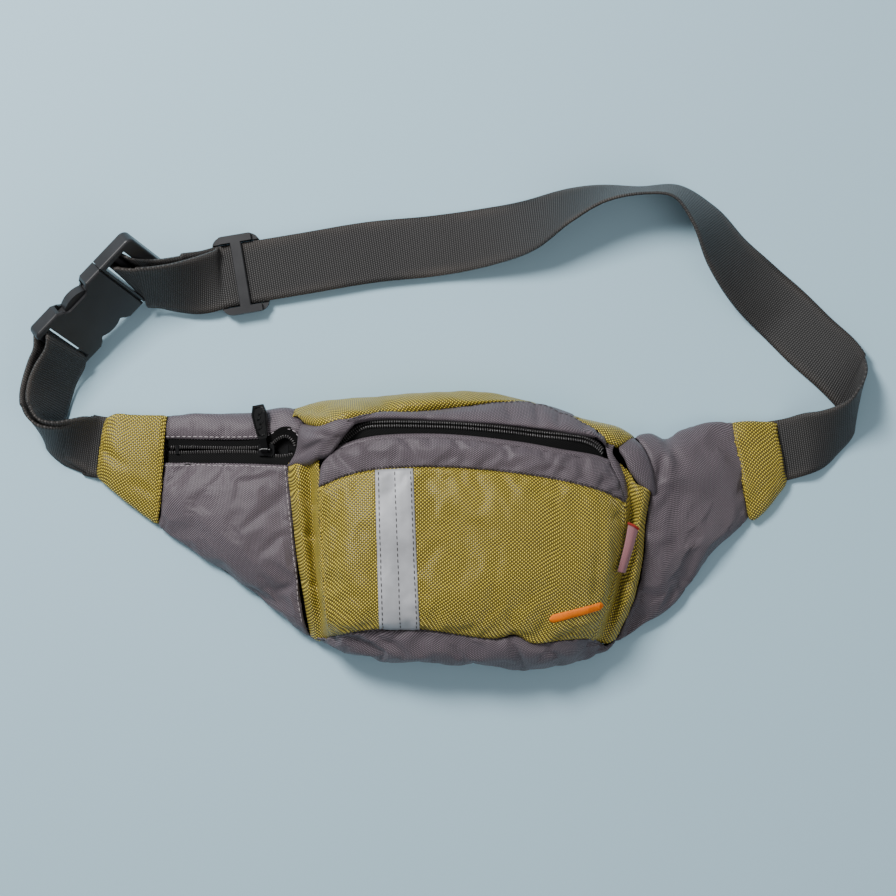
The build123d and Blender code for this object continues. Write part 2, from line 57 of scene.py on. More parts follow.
# ---------------------------------------------------------------- curves and grids
def through(stack, count):
    """Evenly spaced results on a smooth curve through points, or a smooth surface through lines."""
    p = np.asarray(stack, float)
    steps = np.linalg.norm(np.diff(p, axis=0), axis=-1)
    gaps = (steps if steps.ndim == 1 else steps.mean(axis=1)) ** 0.6 + 1e-6
    t = np.concatenate([[0.0], np.cumsum(gaps)])
    wide = (-1,) + (1,) * (p.ndim - 1)
    slope = np.diff(p, axis=0) / gaps.reshape(wide)
    tangent = np.empty_like(p)
    tangent[0], tangent[-1] = slope[0], slope[-1]
    before, after = gaps[:-1].reshape(wide), gaps[1:].reshape(wide)
    tangent[1:-1] = (slope[:-1] * after + slope[1:] * before) / (before + after)
    fine = np.linspace(0.0, t[-1], 24 * (len(p) - 1) + 1)
    span = np.clip(np.searchsorted(t, fine, side="right") - 1, 0, len(gaps) - 1)
    h = gaps[span].reshape(wide)
    s = ((fine - t[span]) / gaps[span]).reshape(wide)
    curve = ((2 * s**3 - 3 * s**2 + 1) * p[span] + (s**3 - 2 * s**2 + s) * h * tangent[span]
             + (-2 * s**3 + 3 * s**2) * p[span + 1] + (s**3 - s**2) * h * tangent[span + 1])
    walk = np.linalg.norm(np.diff(curve, axis=0), axis=-1)
    walk = walk if walk.ndim == 1 else walk.mean(axis=1)
    length = np.concatenate([[0.0], np.cumsum(walk)])
    wanted = np.linspace(0.0, length[-1], count)
    low = np.clip(np.searchsorted(length, wanted, side="right") - 1, 0, len(length) - 2)
    share = ((wanted - length[low]) / np.maximum(length[low + 1] - length[low], 1e-9)).reshape(wide)
    return curve[low] * (1 - share) + curve[low + 1] * share


def line_length(points):
    return float(np.linalg.norm(np.diff(np.asarray(points, float), axis=0), axis=1).sum())


def surface(lines, cell=CELL):
    """A grid through a list of lines, each line a list of points."""
    columns = max(4, int(max(line_length(line) for line in lines) / cell) + 1)
    across = np.array([through(line, columns) for line in lines])
    width = np.linalg.norm(np.diff(across, axis=0), axis=2).sum(axis=0).max()
    return through(across, max(4, int(width / cell) + 1))


def normals_of(grid, outside=None):
    """Unit normals of a grid, turned to face away from the inside point."""
    along = np.gradient(grid, axis=1)
    across = np.gradient(grid, axis=0)
    n = np.cross(along, across)
    n /= np.maximum(np.linalg.norm(n, axis=2, keepdims=True), 1e-9)
    away = grid - PACK_MIDDLE if outside is None else np.broadcast_to(np.asarray(outside, float), grid.shape)
    return n if (n * away).sum() > 0 else -n


def reach(grid):
    """Distances in mm along each row and up each column, from the grid's first border."""
    along = np.linalg.norm(np.diff(grid, axis=1), axis=2)
    up = np.linalg.norm(np.diff(grid, axis=0), axis=2)
    u = np.concatenate([np.zeros((grid.shape[0], 1)), np.cumsum(along, axis=1)], axis=1)
    v = np.concatenate([np.zeros((1, grid.shape[1])), np.cumsum(up, axis=0)], axis=0)
    return u, v


def border_distance(grid, borders="lrbt"):
    """Distance in mm to the nearest of the named borders: left, right, bottom, top."""
    u, v = reach(grid)
    far = {"l": u, "r": u[:, -1:] - u, "b": v, "t": v[-1:, :] - v}
    return np.min([far[b] for b in borders], axis=0)


def noise_field(grid, size, seed):
    """Smooth noise of about -1..1 over a grid, `size` mm from one swell to the next."""
    field = np.empty(grid.shape[:2])
    offset = Vector((seed * 7.31, seed * 3.17, seed * 1.73))
    scale = 1.0 / size
    for i, row in enumerate(grid):
        for j, p in enumerate(row):
            field[i, j] = noise.noise(Vector((p[0] * scale, p[1] * scale, p[2] * scale)) + offset)
    return field


def crease_field(grid, creases):
    """Valleys and ridges: each is a start, an end, its depth (negative for a ridge) and its half-width."""
    field = np.zeros(grid.shape[:2])
    for start, end, depth, half in creases:
        a, b = np.array(start, float), np.array(end, float)
        run = b - a
        share = ((grid[..., :2] - a) @ run) / (run @ run)
        nearest = a + np.clip(share, 0, 1)[..., None] * run
        gap = np.linalg.norm(grid[..., :2] - nearest, axis=2)
        # deepest in its middle third, half as deep at its ends
        fade = np.clip(1.25 - np.abs(np.clip(share, -0.25, 1.25) - 0.5) * 1.5, 0, 1)
        field -= depth * fade * np.exp(-(gap / half) ** 2)
    return field


# ---------------------------------------------------------------- meshes
def add_object(name, vertices, faces, material, body="pack", uv=None):
    """A smooth mesh object in metres, from millimetre vertices, that rides on a body unless body is None."""
    mesh = bpy.data.meshes.new(name)
    mesh.from_pydata([tuple(c * MM for c in v) for v in vertices], [], faces)
    mesh.validate()
    mesh.update()
    if uv is not None:
        layer = mesh.uv_layers.new(name="cloth")
        which = np.empty(len(mesh.loops), int)
        mesh.loops.foreach_get("vertex_index", which)
        layer.data.foreach_set("uv", (np.asarray(uv)[which] * MM).ravel())
    mesh.polygons.foreach_set("use_smooth", [True] * len(mesh.polygons))
    mesh.materials.append(material)
    obj = bpy.data.objects.new(name, mesh)
    bpy.context.collection.objects.link(obj)
    if body:
        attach(obj, body)
    return obj


def quads(rows, columns):
    """The corner numbers of each cell of a grid."""
    i, j = np.meshgrid(np.arange(rows - 1), np.arange(columns - 1), indexing="ij")
    a = (i * columns + j).ravel()
    return np.stack([a, a + 1, a + columns + 1, a + columns], axis=1)


def closed_shell(grid, normals, thickness, uv_grid):
    """Vertices, faces and UVs of a cloth layer with its inside and its rim."""
    rows, columns = grid.shape[:2]
    inner = grid - normals * thickness
    vertices = np.concatenate([grid.reshape(-1, 3), inner.reshape(-1, 3)])
    uv = np.concatenate([uv_grid.reshape(-1, 2)] * 2)
    quad = quads(rows, columns)
    flip = (np.cross(grid[0, 1] - grid[0, 0], grid[1, 0] - grid[0, 0]) * normals[0, 0]).sum() < 0
    outer = quad[:, ::-1] if flip else quad
    back = (quad if flip else quad[:, ::-1]) + rows * columns
    ring = (list(range(columns)) + [i * columns + columns - 1 for i in range(1, rows)]
            + [(rows - 1) * columns + j for j in range(columns - 2, -1, -1)]
            + [i * columns for i in range(rows - 2, 0, -1)])
    rim = []
    for a, b in zip(ring, ring[1:] + ring[:1]):
        face = (b, a, a + rows * columns, b + rows * columns)
        rim.append(face[::-1] if flip else face)
    return vertices, [tuple(f) for f in outer] + [tuple(f) for f in back] + rim, uv


def uv_of(grid, from_top=False):
    """Flat cloth coordinates in mm, out from the grid's middle column and from its straighter end row."""
    u, v = reach(grid)
    middle = grid.shape[1] // 2
    if from_top:
        v = v - v[-1:, :] + v[-1].mean()
    return np.stack([u - u[:, middle:middle + 1] + u[:, middle:middle + 1].mean(), v], axis=2)


class Panel:
    """A sewn fabric panel: its final surface, for the stitches and trims that lie on it."""

    def __init__(self, grid, normals):
        self.grid, self.normals = grid, normals

    def inset(self, border, distance, lift=0.15, start=0.0, end=1.0):
        """Points a set distance inside one border, a little above the cloth."""
        grid, normals = self.grid, self.normals
        if border in "lr":
            grid, normals = grid.transpose(1, 0, 2), normals.transpose(1, 0, 2)
        if border in "rt":
            grid, normals = grid[::-1], normals[::-1]
        _, v = reach(grid)
        points = []
        for j in range(int(start * (grid.shape[1] - 1)), int(end * (grid.shape[1] - 1)) + 1):
            at = [np.interp(distance, v[:, j], (grid + normals * lift)[:, j, k]) for k in range(3)]
            points.append(at)
        return np.array(points)


SEAM_REACH, TUCK_REACH = 9.0, 1.6                       # how far a seam pulls the cloth in, and its groove
PUCKER_SIZE, SWELL_SIZE, RIPPLE_SIZE = 6.5, 30.0, 11.0  # from one pucker, swell or ripple to the next
RIPPLE_SHARE = 0.35                                     # height of the ripples beside the swells
PUCKER_FADE, SWELL_FADE, RIPPLE_FADE, CREASE_FADE = 3.0, 8.0, 6.0, 2.5    # they fade this close to a border


def puckered(grid, outside=None, puff=0.0, tuck=1.0, pucker=0.6, swell=0.8, creases=(), borders="lrbt",
             seed=1):
    """The cloth's own shape: it puffs between its seams, sinks and puckers at them, and folds."""
    n = normals_of(grid, outside)
    d = border_distance(grid, borders)
    near = border_distance(grid)
    pull = np.exp(-d / SEAM_REACH)
    lift = puff * (1 - pull) - tuck * np.exp(-(d / TUCK_REACH) ** 2)
    lift += pucker * noise_field(grid, PUCKER_SIZE, seed) * pull * np.clip(near / PUCKER_FADE, 0, 1)
    lift += swell * noise_field(grid, SWELL_SIZE, seed + 1) * np.clip(near / SWELL_FADE, 0, 1)
    ripples = RIPPLE_SHARE * swell * noise_field(grid, RIPPLE_SIZE, seed + 2)
    lift += ripples * np.clip(near / RIPPLE_FADE, 0, 1)
    lift += crease_field(grid, creases) * np.clip(near / CREASE_FADE, 0.25, 1)
    return grid + n * lift[..., None]


SETTLE_FRAMES = 14       # enough for the spare cloth to buckle and come to rest


def settle(grid, outside, stretch, pressure, cap):
    """Blender's cloth, held at the panel's border: spare fabric buckles into folds, `cap` mm high at most."""
    rows, columns = grid.shape[:2]
    n = normals_of(grid, outside)
    mesh = bpy.data.meshes.new("settling")
    cells = [tuple(cell) for cell in quads(rows, columns)]
    mesh.from_pydata([tuple(v) for v in grid.reshape(-1, 3) * MM], [], cells)
    obj = bpy.data.objects.new("settling", mesh)
    bpy.context.collection.objects.link(obj)
    held = obj.vertex_groups.new(name="held")
    edge = [k for k in range(rows * columns)
            if k // columns in (0, rows - 1) or k % columns in (0, columns - 1)]
    held.add(edge, 1.0, "REPLACE")
    cloth = obj.modifiers.new("cloth", "CLOTH").settings
    cloth.quality = 6
    cloth.mass = 0.25
    cloth.tension_stiffness = cloth.compression_stiffness = 12
    cloth.shear_stiffness = 4
    cloth.bending_stiffness = 0.35
    cloth.vertex_group_mass = "held"
    cloth.shrink_min = -stretch
    cloth.effector_weights.gravity = 0
    cloth.use_pressure = pressure > 0
    cloth.uniform_pressure_force = pressure
    obj.modifiers["cloth"].point_cache.frame_end = SETTLE_FRAMES
    for frame_number in range(1, SETTLE_FRAMES + 1):
        bpy.context.scene.frame_set(frame_number)
    done = obj.evaluated_get(bpy.context.evaluated_depsgraph_get()).to_mesh()
    result = np.empty(rows * columns * 3)
    done.vertices.foreach_get("co", result)
    bpy.data.objects.remove(obj)
    bpy.context.scene.frame_set(1)
    move = result.reshape(grid.shape) / MM - grid
    size = np.linalg.norm(move, axis=2, keepdims=True)
    return grid + move * np.minimum(1, cap / np.maximum(size, 1e-9))


def panel(name, lines, material, slot, replaces=(), outside=None, settle_by=None, thickness=FABRIC, cell=CELL,
          from_top=False, **shape):
    """One sewn panel through its lines of points, bottom line first."""
    grid = puckered(surface(lines, cell), outside, **shape)
    if settle_by:
        grid = settle(grid, outside, *settle_by)
    n = normals_of(grid, outside)
    vertices, faces, uv = closed_shell(grid, n, thickness, uv_of(grid, from_top))
    obj = add_object(name, vertices, faces, material, uv=uv)
    if replaces:
        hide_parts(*replaces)
    return Panel(grid, n)


def rod_faces(base, rings, sides):
    """Faces of a closed rod whose rings of vertices follow each other from vertex number base."""
    faces = []
    for r in range(rings - 1):
        for s in range(sides):
            a, b = base + r * sides + s, base + r * sides + (s + 1) % sides
            faces.append((a, b, b + sides, a + sides))
    faces.append(tuple(base + s for s in reversed(range(sides))))
    faces.append(tuple(base + (rings - 1) * sides + s for s in range(sides)))
    return faces


def circle(sides):
    """The cosine and sine of each corner of a ring."""
    turns = [2 * math.pi * k / sides for k in range(sides)]
    return [(math.cos(t), math.sin(t)) for t in turns]


BEAD = [(-0.5, 0.12), (-0.42, 0.62), (-0.2, 1.0), (0.2, 1.0), (0.42, 0.62), (0.5, 0.12)]   # place, fatness


def beads(name, centres, directions, length, radius, material, body="pack", sides=6, flat=1.0,
          ups=None):
    """Many small capsules in one mesh: stitches, zip teeth and the like."""
    vertices, faces = [], []
    for k, (centre, direction) in enumerate(zip(centres, directions)):
        x = np.asarray(direction, float)
        x = x / np.linalg.norm(x)
        up = np.array([0, 0, 1.0]) if ups is None else np.asarray(ups[k], float)
        y = np.cross(up, x)
        y /= max(np.linalg.norm(y), 1e-9)
        z = np.cross(x, y)
        base = len(vertices)
        for share, fat in BEAD:
            for c, s in circle(sides):
                ring = (y * c + z * s * flat) * radius * fat
                vertices.append(centre + x * share * length + ring)
        faces += rod_faces(base, len(BEAD), sides)
    return add_object(name, vertices, faces, material, body)


def stitches(name, paths, material, length=2.5, gap=1.0, radius=0.3):
    """Rows of lockstitch along paths that lie on the cloth."""
    centres, directions = [], []
    for path in paths:
        count = max(2, int(line_length(path) / (length + gap)))
        points = through(path, 2 * count + 1)
        for k in range(count):
            centres.append(points[2 * k + 1])
            directions.append(points[2 * k + 2] - points[2 * k])
    return beads(name, centres, directions, length, radius, material, flat=0.7)


def tube(name, path, radius, material, body="pack", sides=8):
    """A round rod along a path."""
    p = np.asarray(path, float)
    n = len(p)
    t = np.gradient(p, axis=0)
    t /= np.linalg.norm(t, axis=1, keepdims=True)
    side = np.cross(t[0], [0.03, 0.1, 1.0])
    vertices = []
    for k in range(n):
        side = side - t[k] * (side @ t[k])
        side /= np.linalg.norm(side)
        other = np.cross(t[k], side)
        for c, s in circle(sides):
            vertices.append(p[k] + (side * c + other * s) * radius)
    return add_object(name, vertices, rod_faces(0, n, sides), material, body)


# ---------------------------------------------------------------- materials
class Shader:
    """A small wrapper for building node materials."""

    def __init__(self, name):
        self.material = bpy.data.materials.new(name)
        self.material.use_nodes = True
        self.tree = self.material.node_tree
        self.surface = self.tree.nodes["Principled BSDF"]

    def node(self, kind, **settings):
        node = self.tree.nodes.new(kind)
        for key, value in settings.items():
            setattr(node, key, value)
        return node

    def feed(self, socket, value):
        if isinstance(value, bpy.types.NodeSocket):
            self.tree.links.new(value, socket)
        else:
            socket.default_value = value

    def math(self, operation, a, b=0.0, c=0.0):
        node = self.node("ShaderNodeMath", operation=operation)
        for socket, value in zip(node.inputs, (a, b, c)):
            self.feed(socket, value)
        return node.outputs[0]

    def times(self, a, b):
        return self.math("MULTIPLY", a, b)

    def ridges(self, angle):
        """Rounded ridges of height 0 to 1, one for each half turn of the angle."""
        return self.math("ABSOLUTE", self.math("SINE", angle))

    def mix(self, share, a, b):
        node = self.node("ShaderNodeMix", data_type="RGBA")
        self.feed(node.inputs[0], share)
        self.feed(node.inputs[6], a)
        self.feed(node.inputs[7], b)
        return node.outputs[2]

    def noise(self, vector, scale, detail=2.0):
        node = self.node("ShaderNodeTexNoise")
        self.feed(node.inputs["Vector"], vector)
        node.inputs["Scale"].default_value = scale
        node.inputs["Detail"].default_value = detail
        return node.outputs[0]

    def ramp(self, value, low, high):
        node = self.node("ShaderNodeMapRange", clamp=True)
        self.feed(node.inputs[0], value)
        node.inputs[1].default_value, node.inputs[2].default_value = low, high
        return node.outputs[0]

    def uv(self):
        split = self.node("ShaderNodeSeparateXYZ")
        self.feed(split.inputs[0], self.node("ShaderNodeUVMap", uv_map="cloth").outputs[0])
        return split.outputs[0], split.outputs[1]

    def place(self):
        return self.node("ShaderNodeTexCoord").outputs["Object"]

    def bump(self, height, distance, strength=1.0):
        node = self.node("ShaderNodeBump")
        node.inputs["Strength"].default_value = strength
        node.inputs["Distance"].default_value = distance * MM
        self.feed(node.inputs["Height"], height)
        self.feed(self.surface.inputs["Normal"], node.outputs[0])

    def finish(self, **values):
        for key, value in values.items():
            self.feed(self.surface.inputs[key.replace("_", " ")], value)
        return self.material


def rgb(red, green, blue):
    """A colour given as it looks on a screen, 0 to 255."""
    screen = [c / 255 for c in (red, green, blue)]
    linear = [c / 12.92 if c <= 0.04 else ((c + 0.055) / 1.055) ** 2.4 for c in screen]
    return (*linear, 1.0)


WEFT_LEVEL = 0.18        # height of the weft yarns beside the warp floats, which are 1
WORN_SHARE = 0.88        # brightness of worn cloth beside new


def weave_height(s, u, v, pitch_u, pitch_v):
    """Height 0..1 of a plain weave: raised warp floats, staggered, over lower weft yarns."""
    a = s.math("DIVIDE", u, pitch_u * MM)
    b = s.math("DIVIDE", v, pitch_v * MM)
    odd = s.math("ABSOLUTE", s.math("MODULO", s.math("ADD", s.math("FLOOR", a), s.math("FLOOR", b)), 2.0))
    round_a = s.ridges(s.times(a, math.pi))
    round_b = s.ridges(s.times(b, math.pi))
    warp = s.times(round_a, s.math("MULTIPLY_ADD", round_b, 0.55, 0.45))
    weft = s.times(round_b, s.math("MULTIPLY_ADD", round_a, 0.55, 0.45))
    share_warp = s.times(warp, odd)
    share_weft = s.times(s.times(weft, WEFT_LEVEL), s.math("SUBTRACT", 1.0, odd))
    return s.math("ADD", share_warp, share_weft)


def woven(name, lit, gap, pitch, bump, roughness, sheen, shine=0.5):
    """Woven cloth in its own colour, with a painted highlight on the yarn tops and painted shade in the gaps
    between them, a little worn in patches.
    """
    s = Shader(name)
    u, v = s.uv()
    height = weave_height(s, u, v, pitch[0], pitch[1])
    wear = s.noise(s.place(), 45.0, 4.0)
    yarn = s.noise(s.place(), 900.0, 1.0)
    # painted light: the raised yarns take the lit colour as a painted highlight and the low gaps take the gap
    # colour as painted shade; the wear patches vary at random
    tone = s.times(s.ramp(height, 0.1, 0.66), s.math("MULTIPLY_ADD", yarn, 0.3, 0.85))
    dull = tuple(c * WORN_SHARE for c in lit[:3]) + (1.0,)
    colour = s.mix(tone, gap, s.mix(s.ramp(wear, 0.4, 0.75), lit, dull))
    s.bump(height, bump)
    return s.finish(Base_Color=colour, Roughness=roughness, Sheen_Weight=sheen, Sheen_Roughness=0.4,
                    Specular_IOR_Level=shine)


RIB = 1.4 * MM           # from one rib or yarn of the webbing to the next


def webbing_material(name, lit, gap, edge):
    """Flat webbing: fine warp yarns crossed by ribs, with a painted highlight on the rib tops, painted shade in
    the grooves between them, and paler worn edges.
    """
    s = Shader(name)
    u, v = s.uv()
    rib = s.ridges(s.times(v, math.pi / RIB))
    shift = s.times(s.math("FLOOR", s.math("DIVIDE", v, RIB)), RIB / 2)
    along = s.times(s.math("ADD", u, shift), math.pi / RIB)
    yarn = s.ridges(along)
    height = s.times(rib, s.math("MULTIPLY_ADD", yarn, 0.65, 0.35))
    fuzz = s.noise(s.place(), 1400.0, 2.0)
    wear = s.noise(s.place(), 30.0, 3.0)
    tone = s.times(s.ramp(height, 0.25, 0.95), s.math("MULTIPLY_ADD", fuzz, 0.6, 0.7))
    # painted light: the rib and yarn tops take the lit colour as a painted highlight and the grooves take the
    # gap colour as painted shade
    colour = s.mix(tone, gap, lit)
    from_middle = s.math("ABSOLUTE", s.math("SUBTRACT", u, WEBBING_WIDTH / 2 * MM))
    worn = s.times(s.ramp(from_middle, 12 * MM, 19 * MM), s.ramp(wear, 0.35, 0.7))
    colour = s.mix(s.times(worn, 0.4), colour, edge)
    s.bump(height, 0.35)
    return s.finish(Base_Color=colour, Roughness=0.58, Sheen_Weight=0.06, Sheen_Roughness=0.5)


def plastic(name, colour, light, roughness, grain=0.03, shine=0.5):
    """Moulded plastic, paint or foam: a fine grain, and a lighter colour where it is rubbed."""
    s = Shader(name)
    fine = s.noise(s.place(), 1500.0, 3.0)
    broad = s.noise(s.place(), 60.0, 3.0)
    shade = s.mix(s.times(s.ramp(broad, 0.35, 0.75), 0.5), colour, light)
    s.bump(fine, grain)
    rough = s.math("MULTIPLY_ADD", broad, 0.15, roughness - 0.07)
    return s.finish(Base_Color=shade, Roughness=rough, Specular_IOR_Level=shine)


def thread(name, colour, dark):
    """Twisted thread."""
    s = Shader(name)
    twist = s.noise(s.place(), 2500.0, 1.0)
    return s.finish(Base_Color=s.mix(twist, dark, colour), Roughness=0.5, Specular_IOR_Level=0.2)


# Woven cloths: the first colour is the yarn colour lightened as a painted highlight on the yarn tops, and the
# second is painted shade in the gaps between the yarns.
OLIVE = woven("olive_ballistic_nylon", rgb(254, 228, 82), rgb(60, 47, 2), (1.2, 1.1), 0.7, 0.36, 0.04)
GREY = woven("grey_nylon", rgb(142, 129, 137), rgb(50, 43, 48), (0.95, 0.62), 0.3, 0.45, 0.06)
LINING = woven("black_lining", rgb(20, 20, 21), rgb(6, 6, 7), (0.7, 0.7), 0.08, 0.7, 0.0, shine=0.15)
MESH = woven("spacer_mesh", rgb(74, 70, 74), rgb(24, 22, 24), (2.0, 2.0), 0.6, 0.7, 0.2)
TAPE = woven("zip_tape", rgb(22, 22, 22), rgb(4, 4, 4), (0.9, 0.6), 0.14, 0.7, 0.0, shine=0.12)
# webbing: a painted highlight on the ribs, painted shade between them, then the paler colour of its worn edges
WEBBING = webbing_material("belt_webbing", rgb(61, 59, 58), rgb(7, 7, 7), rgb(86, 76, 68))
FOAM = plastic("foam", rgb(60, 60, 62), rgb(74, 74, 76), 0.85, 0.3)
BUCKLE = plastic("buckle_plastic", rgb(34, 34, 36), rgb(46, 46, 48), 0.4, 0.03)
COIL = plastic("coil_nylon", rgb(52, 50, 50), rgb(84, 82, 80), 0.24, 0.01)
METAL = plastic("painted_slider", rgb(10, 10, 11), rgb(20, 20, 21), 0.24, 0.01, 0.35)
PULLER = plastic("puller_rubber", rgb(9, 9, 10), rgb(18, 18, 19), 0.24, 0.015, 0.15)
THREAD_GREY = thread("thread_grey", rgb(186, 178, 180), rgb(120, 112, 116))
THREAD_DARK = thread("thread_dark", rgb(74, 70, 66), rgb(30, 28, 28))
THREAD_OLIVE = thread("thread_olive", rgb(212, 188, 84), rgb(120, 98, 30))
THREAD_ORANGE = thread("thread_orange", rgb(255, 140, 0), rgb(214, 96, 0))
THREAD_RED = thread("thread_red", rgb(190, 60, 50), rgb(130, 34, 30))


def reflective_material():
    """Silver tape with a fine bead grain and faint soft creases."""
    s = Shader("reflective_tape")
    grain = s.noise(s.place(), 2600.0, 2.0)
    rub = s.noise(s.place(), 55.0, 4.0)
    colour = s.mix(s.ramp(rub, 0.35, 0.75), rgb(184, 185, 189), rgb(156, 157, 160))
    s.bump(s.math("MULTIPLY_ADD", rub, 3.0, grain), 0.05)
    return s.finish(Base_Color=colour, Roughness=0.56, Metallic=0.15)


def label_material():
    s = Shader("woven_label")
    u, v = s.uv()
    height = weave_height(s, u, v, 0.5, 0.5)
    s.bump(height, 0.06)
    fade = s.noise(s.place(), 70.0, 3.0)
    # painted light: the raised yarns are lighter as a painted highlight and the gaps darker as painted shade,
    # less so where the fade noise is low
    colour = s.mix(s.times(height, s.math("MULTIPLY_ADD", fade, 0.5, 0.5)),
                   rgb(128, 78, 84), rgb(190, 140, 144))
    return s.finish(Base_Color=colour, Roughness=0.6, Sheen_Weight=0.2)


REFLECTIVE = reflective_material()
LABEL = label_material()


# ---------------------------------------------------------------- shared seam lines
PANEL_TOP_SEAM = [(-74.5, 27, 43.5), (-58, 34, 46.5), (-40, 38, 48), (0, 39.5, 49), (40, 36.5, 49),
                  (70, 32, 48), (84, 29, 47), (98, 25, 43.8), (106, 21.5, 40), (113.5, 17.5, 35.5)]
BAND_TOP = [(-63, 51.2, 41.5), (-52, 54.5, 42.8), (-40, 57, 43.8), (0, 58.2, 44.3), (48, 53.4, 43.5),
            (73, 49, 42.3), (94, 45.4, 39.5), (103, 42.5, 36.5)]
STRIP_FOLD = [(-62, 60.5, 45), (-54, 66, 47), (-42, 69.2, 44), (0, 68.7, 42), (45, 65.7, 41.5),
              (78, 61.2, 41.5), (96, 57.5, 40.5), (101, 52.5, 36)]
OLIVE_BOUNDARY = [(-66, 63.5, 42), (-58, 67, 46.5), (-50, 70, 46), (-39, 72, 39), (-7, 73.5, 32),
                  (13, 76, 31), (37, 79, 28), (56, 79, 25), (70, 75.5, 27), (83, 69, 32), (95, 61.5, 35),
                  (101, 56, 32)]


# ---------------------------------------------------------------- fabric panels
def make_wings():
    """The two wings: the left one parted by its zip, the right one in one piece."""
    panels = {}
    panels["wing_top"] = panel("wing_left_above_zip",
        [[(-171, 56.5, 8.3), (-118, 56.5, 18.4), (-106, 57.5, 20), (-100, 61, 21.5), (-91, 60.5, 23),
          (-87.5, 56, 24)],
         [(-171, 64, 8.8), (-118, 64.5, 17), (-100, 66, 19.5), (-85, 63.5, 24.5)],
         [(-170, 70.5, 6), (-149, 71.5, 8), (-118, 71.5, 10), (-95, 74.5, 13), (-84, 71, 15)],
         [(-170, 69, 1.5), (-118, 70, 1.5), (-88, 72, 1.5)]],
        GREY, "grey_nylon", puff=1.2, pucker=1.0, swell=1.2, seed=3, borders="lbr",
        creases=[((-132, 66), (-133, 58), 1.2, 3), ((-152, 68), (-150, 59), 1.0, 3),
                 ((-112, 68), (-114, 58), 1.0, 2.6)])
    panels["wing_bottom"] = panel("wing_left_below_zip",
        [[(-172, 6, 1.5), (-130, -25, 1.5), (-82, -63, 1.5)],
         [(-175.5, 3.5, 4), (-131, -28, 5), (-97, -53, 6), (-82, -66, 6)],
         [(-174, 9, 7.5), (-129, -17, 14), (-85, -54, 17)],
         [(-173, 25, 9), (-122, 12, 19.5), (-90, -4, 23.5)],
         [(-172, 42, 8.3), (-118, 41.5, 18.4), (-94, 40.5, 23.5)]],
        GREY, "grey_nylon", replaces=["wing_left"], puff=1.5, pucker=0.9, swell=1.8, seed=6, borders="lrt",
        from_top=True, settle_by=(0.02, 0.5, 2.8),
        creases=[((-96, 22), (-120, 2), 1.8, 4), ((-98, -2), (-112, -16), 1.5, 3.5),
                 ((-101, 34), (-124, 30), 1.2, 3), ((-92, -34), (-102, -38), 1.3, 3),
                 ((-140, 12), (-158, 20), -1.2, 4)])
    panel("wing_right_shell",
        [[(110, -66, 1.5), (142, -40, 1.5), (189, 9.5, 1.5)],
         [(108.5, -69.5, 4), (127, -57.5, 5), (143, -45.5, 5), (167, -15.5, 5), (191, 7, 4)],
         [(116.5, -52, 14), (144, -28, 13), (190, 14, 7.5)],
         [(124, -25.5, 20), (153.5, -5, 17), (188, 26, 9)],
         [(126.5, 6.5, 24), (159, 20, 18), (187, 42, 9.5)],
         [(129.5, 28, 25.5), (160, 43, 18), (184, 55, 9.5)],
         [(127.5, 46, 26), (140, 50, 21), (166, 58, 13), (182.5, 62.5, 9)],
         [(120.5, 58, 18), (129, 59.5, 14), (139, 56.3, 11), (149.5, 61.5, 10), (163, 65, 8), (182, 67, 6)],
         [(119, 56, 1.5), (139, 55, 1.5), (149.5, 60, 1.5), (182, 65.5, 1.5)]],
        GREY, "grey_nylon", replaces=["wing_right"], puff=1.0, pucker=0.8, swell=1.8, seed=9, borders="lr",
        from_top=True, settle_by=(0.014, 0.4, 2.0),
        creases=[((146, 22), (144, -24), 2.6, 7), ((136, 46), (133, 24), 1.8, 2.6),
                 ((141, 50), (139, 30), -1.4, 3), ((139, 54), (147, 42), 2.0, 3.5),
                 ((130, -44), (142, -36), 1.2, 4), ((164, 50), (178, 42), -1.5, 5)])
    return panels


def make_tabs():
    """The covers of the end tabs, where the straps are sewn in."""
    left = panel("end_tab_left_cover",
        [[(-213, 35, 1.6), (-176, 5, 1.6)],
         [(-214, 33, 4.5), (-195, 17.5, 5.2), (-176, 3, 5)],
         [(-213, 41, 8), (-193, 31, 9.5), (-173.5, 18, 10.2)],
         [(-210, 62, 8), (-190, 63, 9.6), (-170.5, 61, 10.5)],
         [(-209, 69, 5), (-201, 72, 6.4), (-190, 71.2, 6.6), (-169.5, 71.5, 7)],
         [(-209, 66, 1.6), (-190, 68, 1.6), (-170, 69, 1.6)]],
        OLIVE, "olive_nylon", replaces=["end_tab_left"], puff=0.6, pucker=0.7, swell=0.9, seed=12,
        borders="lr", from_top=True,
        creases=[((-212, 52), (-196, 40), 0.9, 3), ((-190, 30), (-178, 22), 0.8, 3)])
    right = panel("end_tab_right_cover",
        [[(189.5, 12, 1.6), (193, 8.5, 1.6), (214, 31, 1.6)],
         [(189.5, 9.5, 5), (193, 6.2, 5), (215.5, 29.5, 4.5)],
         [(187, 25, 10.5), (198, 21, 10), (213.3, 37, 8)],
         [(184, 42, 10.8), (200, 42, 10), (211.5, 49, 8)],
         [(180.5, 60, 10.2), (198, 61.5, 9.4), (209, 61, 7.8)],
         [(179.7, 67.3, 6.5), (196, 67.6, 6.2), (209, 67.2, 5)],
         [(181, 65, 1.6), (209, 65, 1.6)]],
        OLIVE, "olive_nylon", replaces=["end_tab_right"], puff=0.5, pucker=0.7, swell=0.8, seed=14,
        borders="lr", from_top=True,
        creases=[((190, 14), (206, 34), 0.9, 3), ((188, 50), (204, 56), 0.7, 3)])
    return left, right


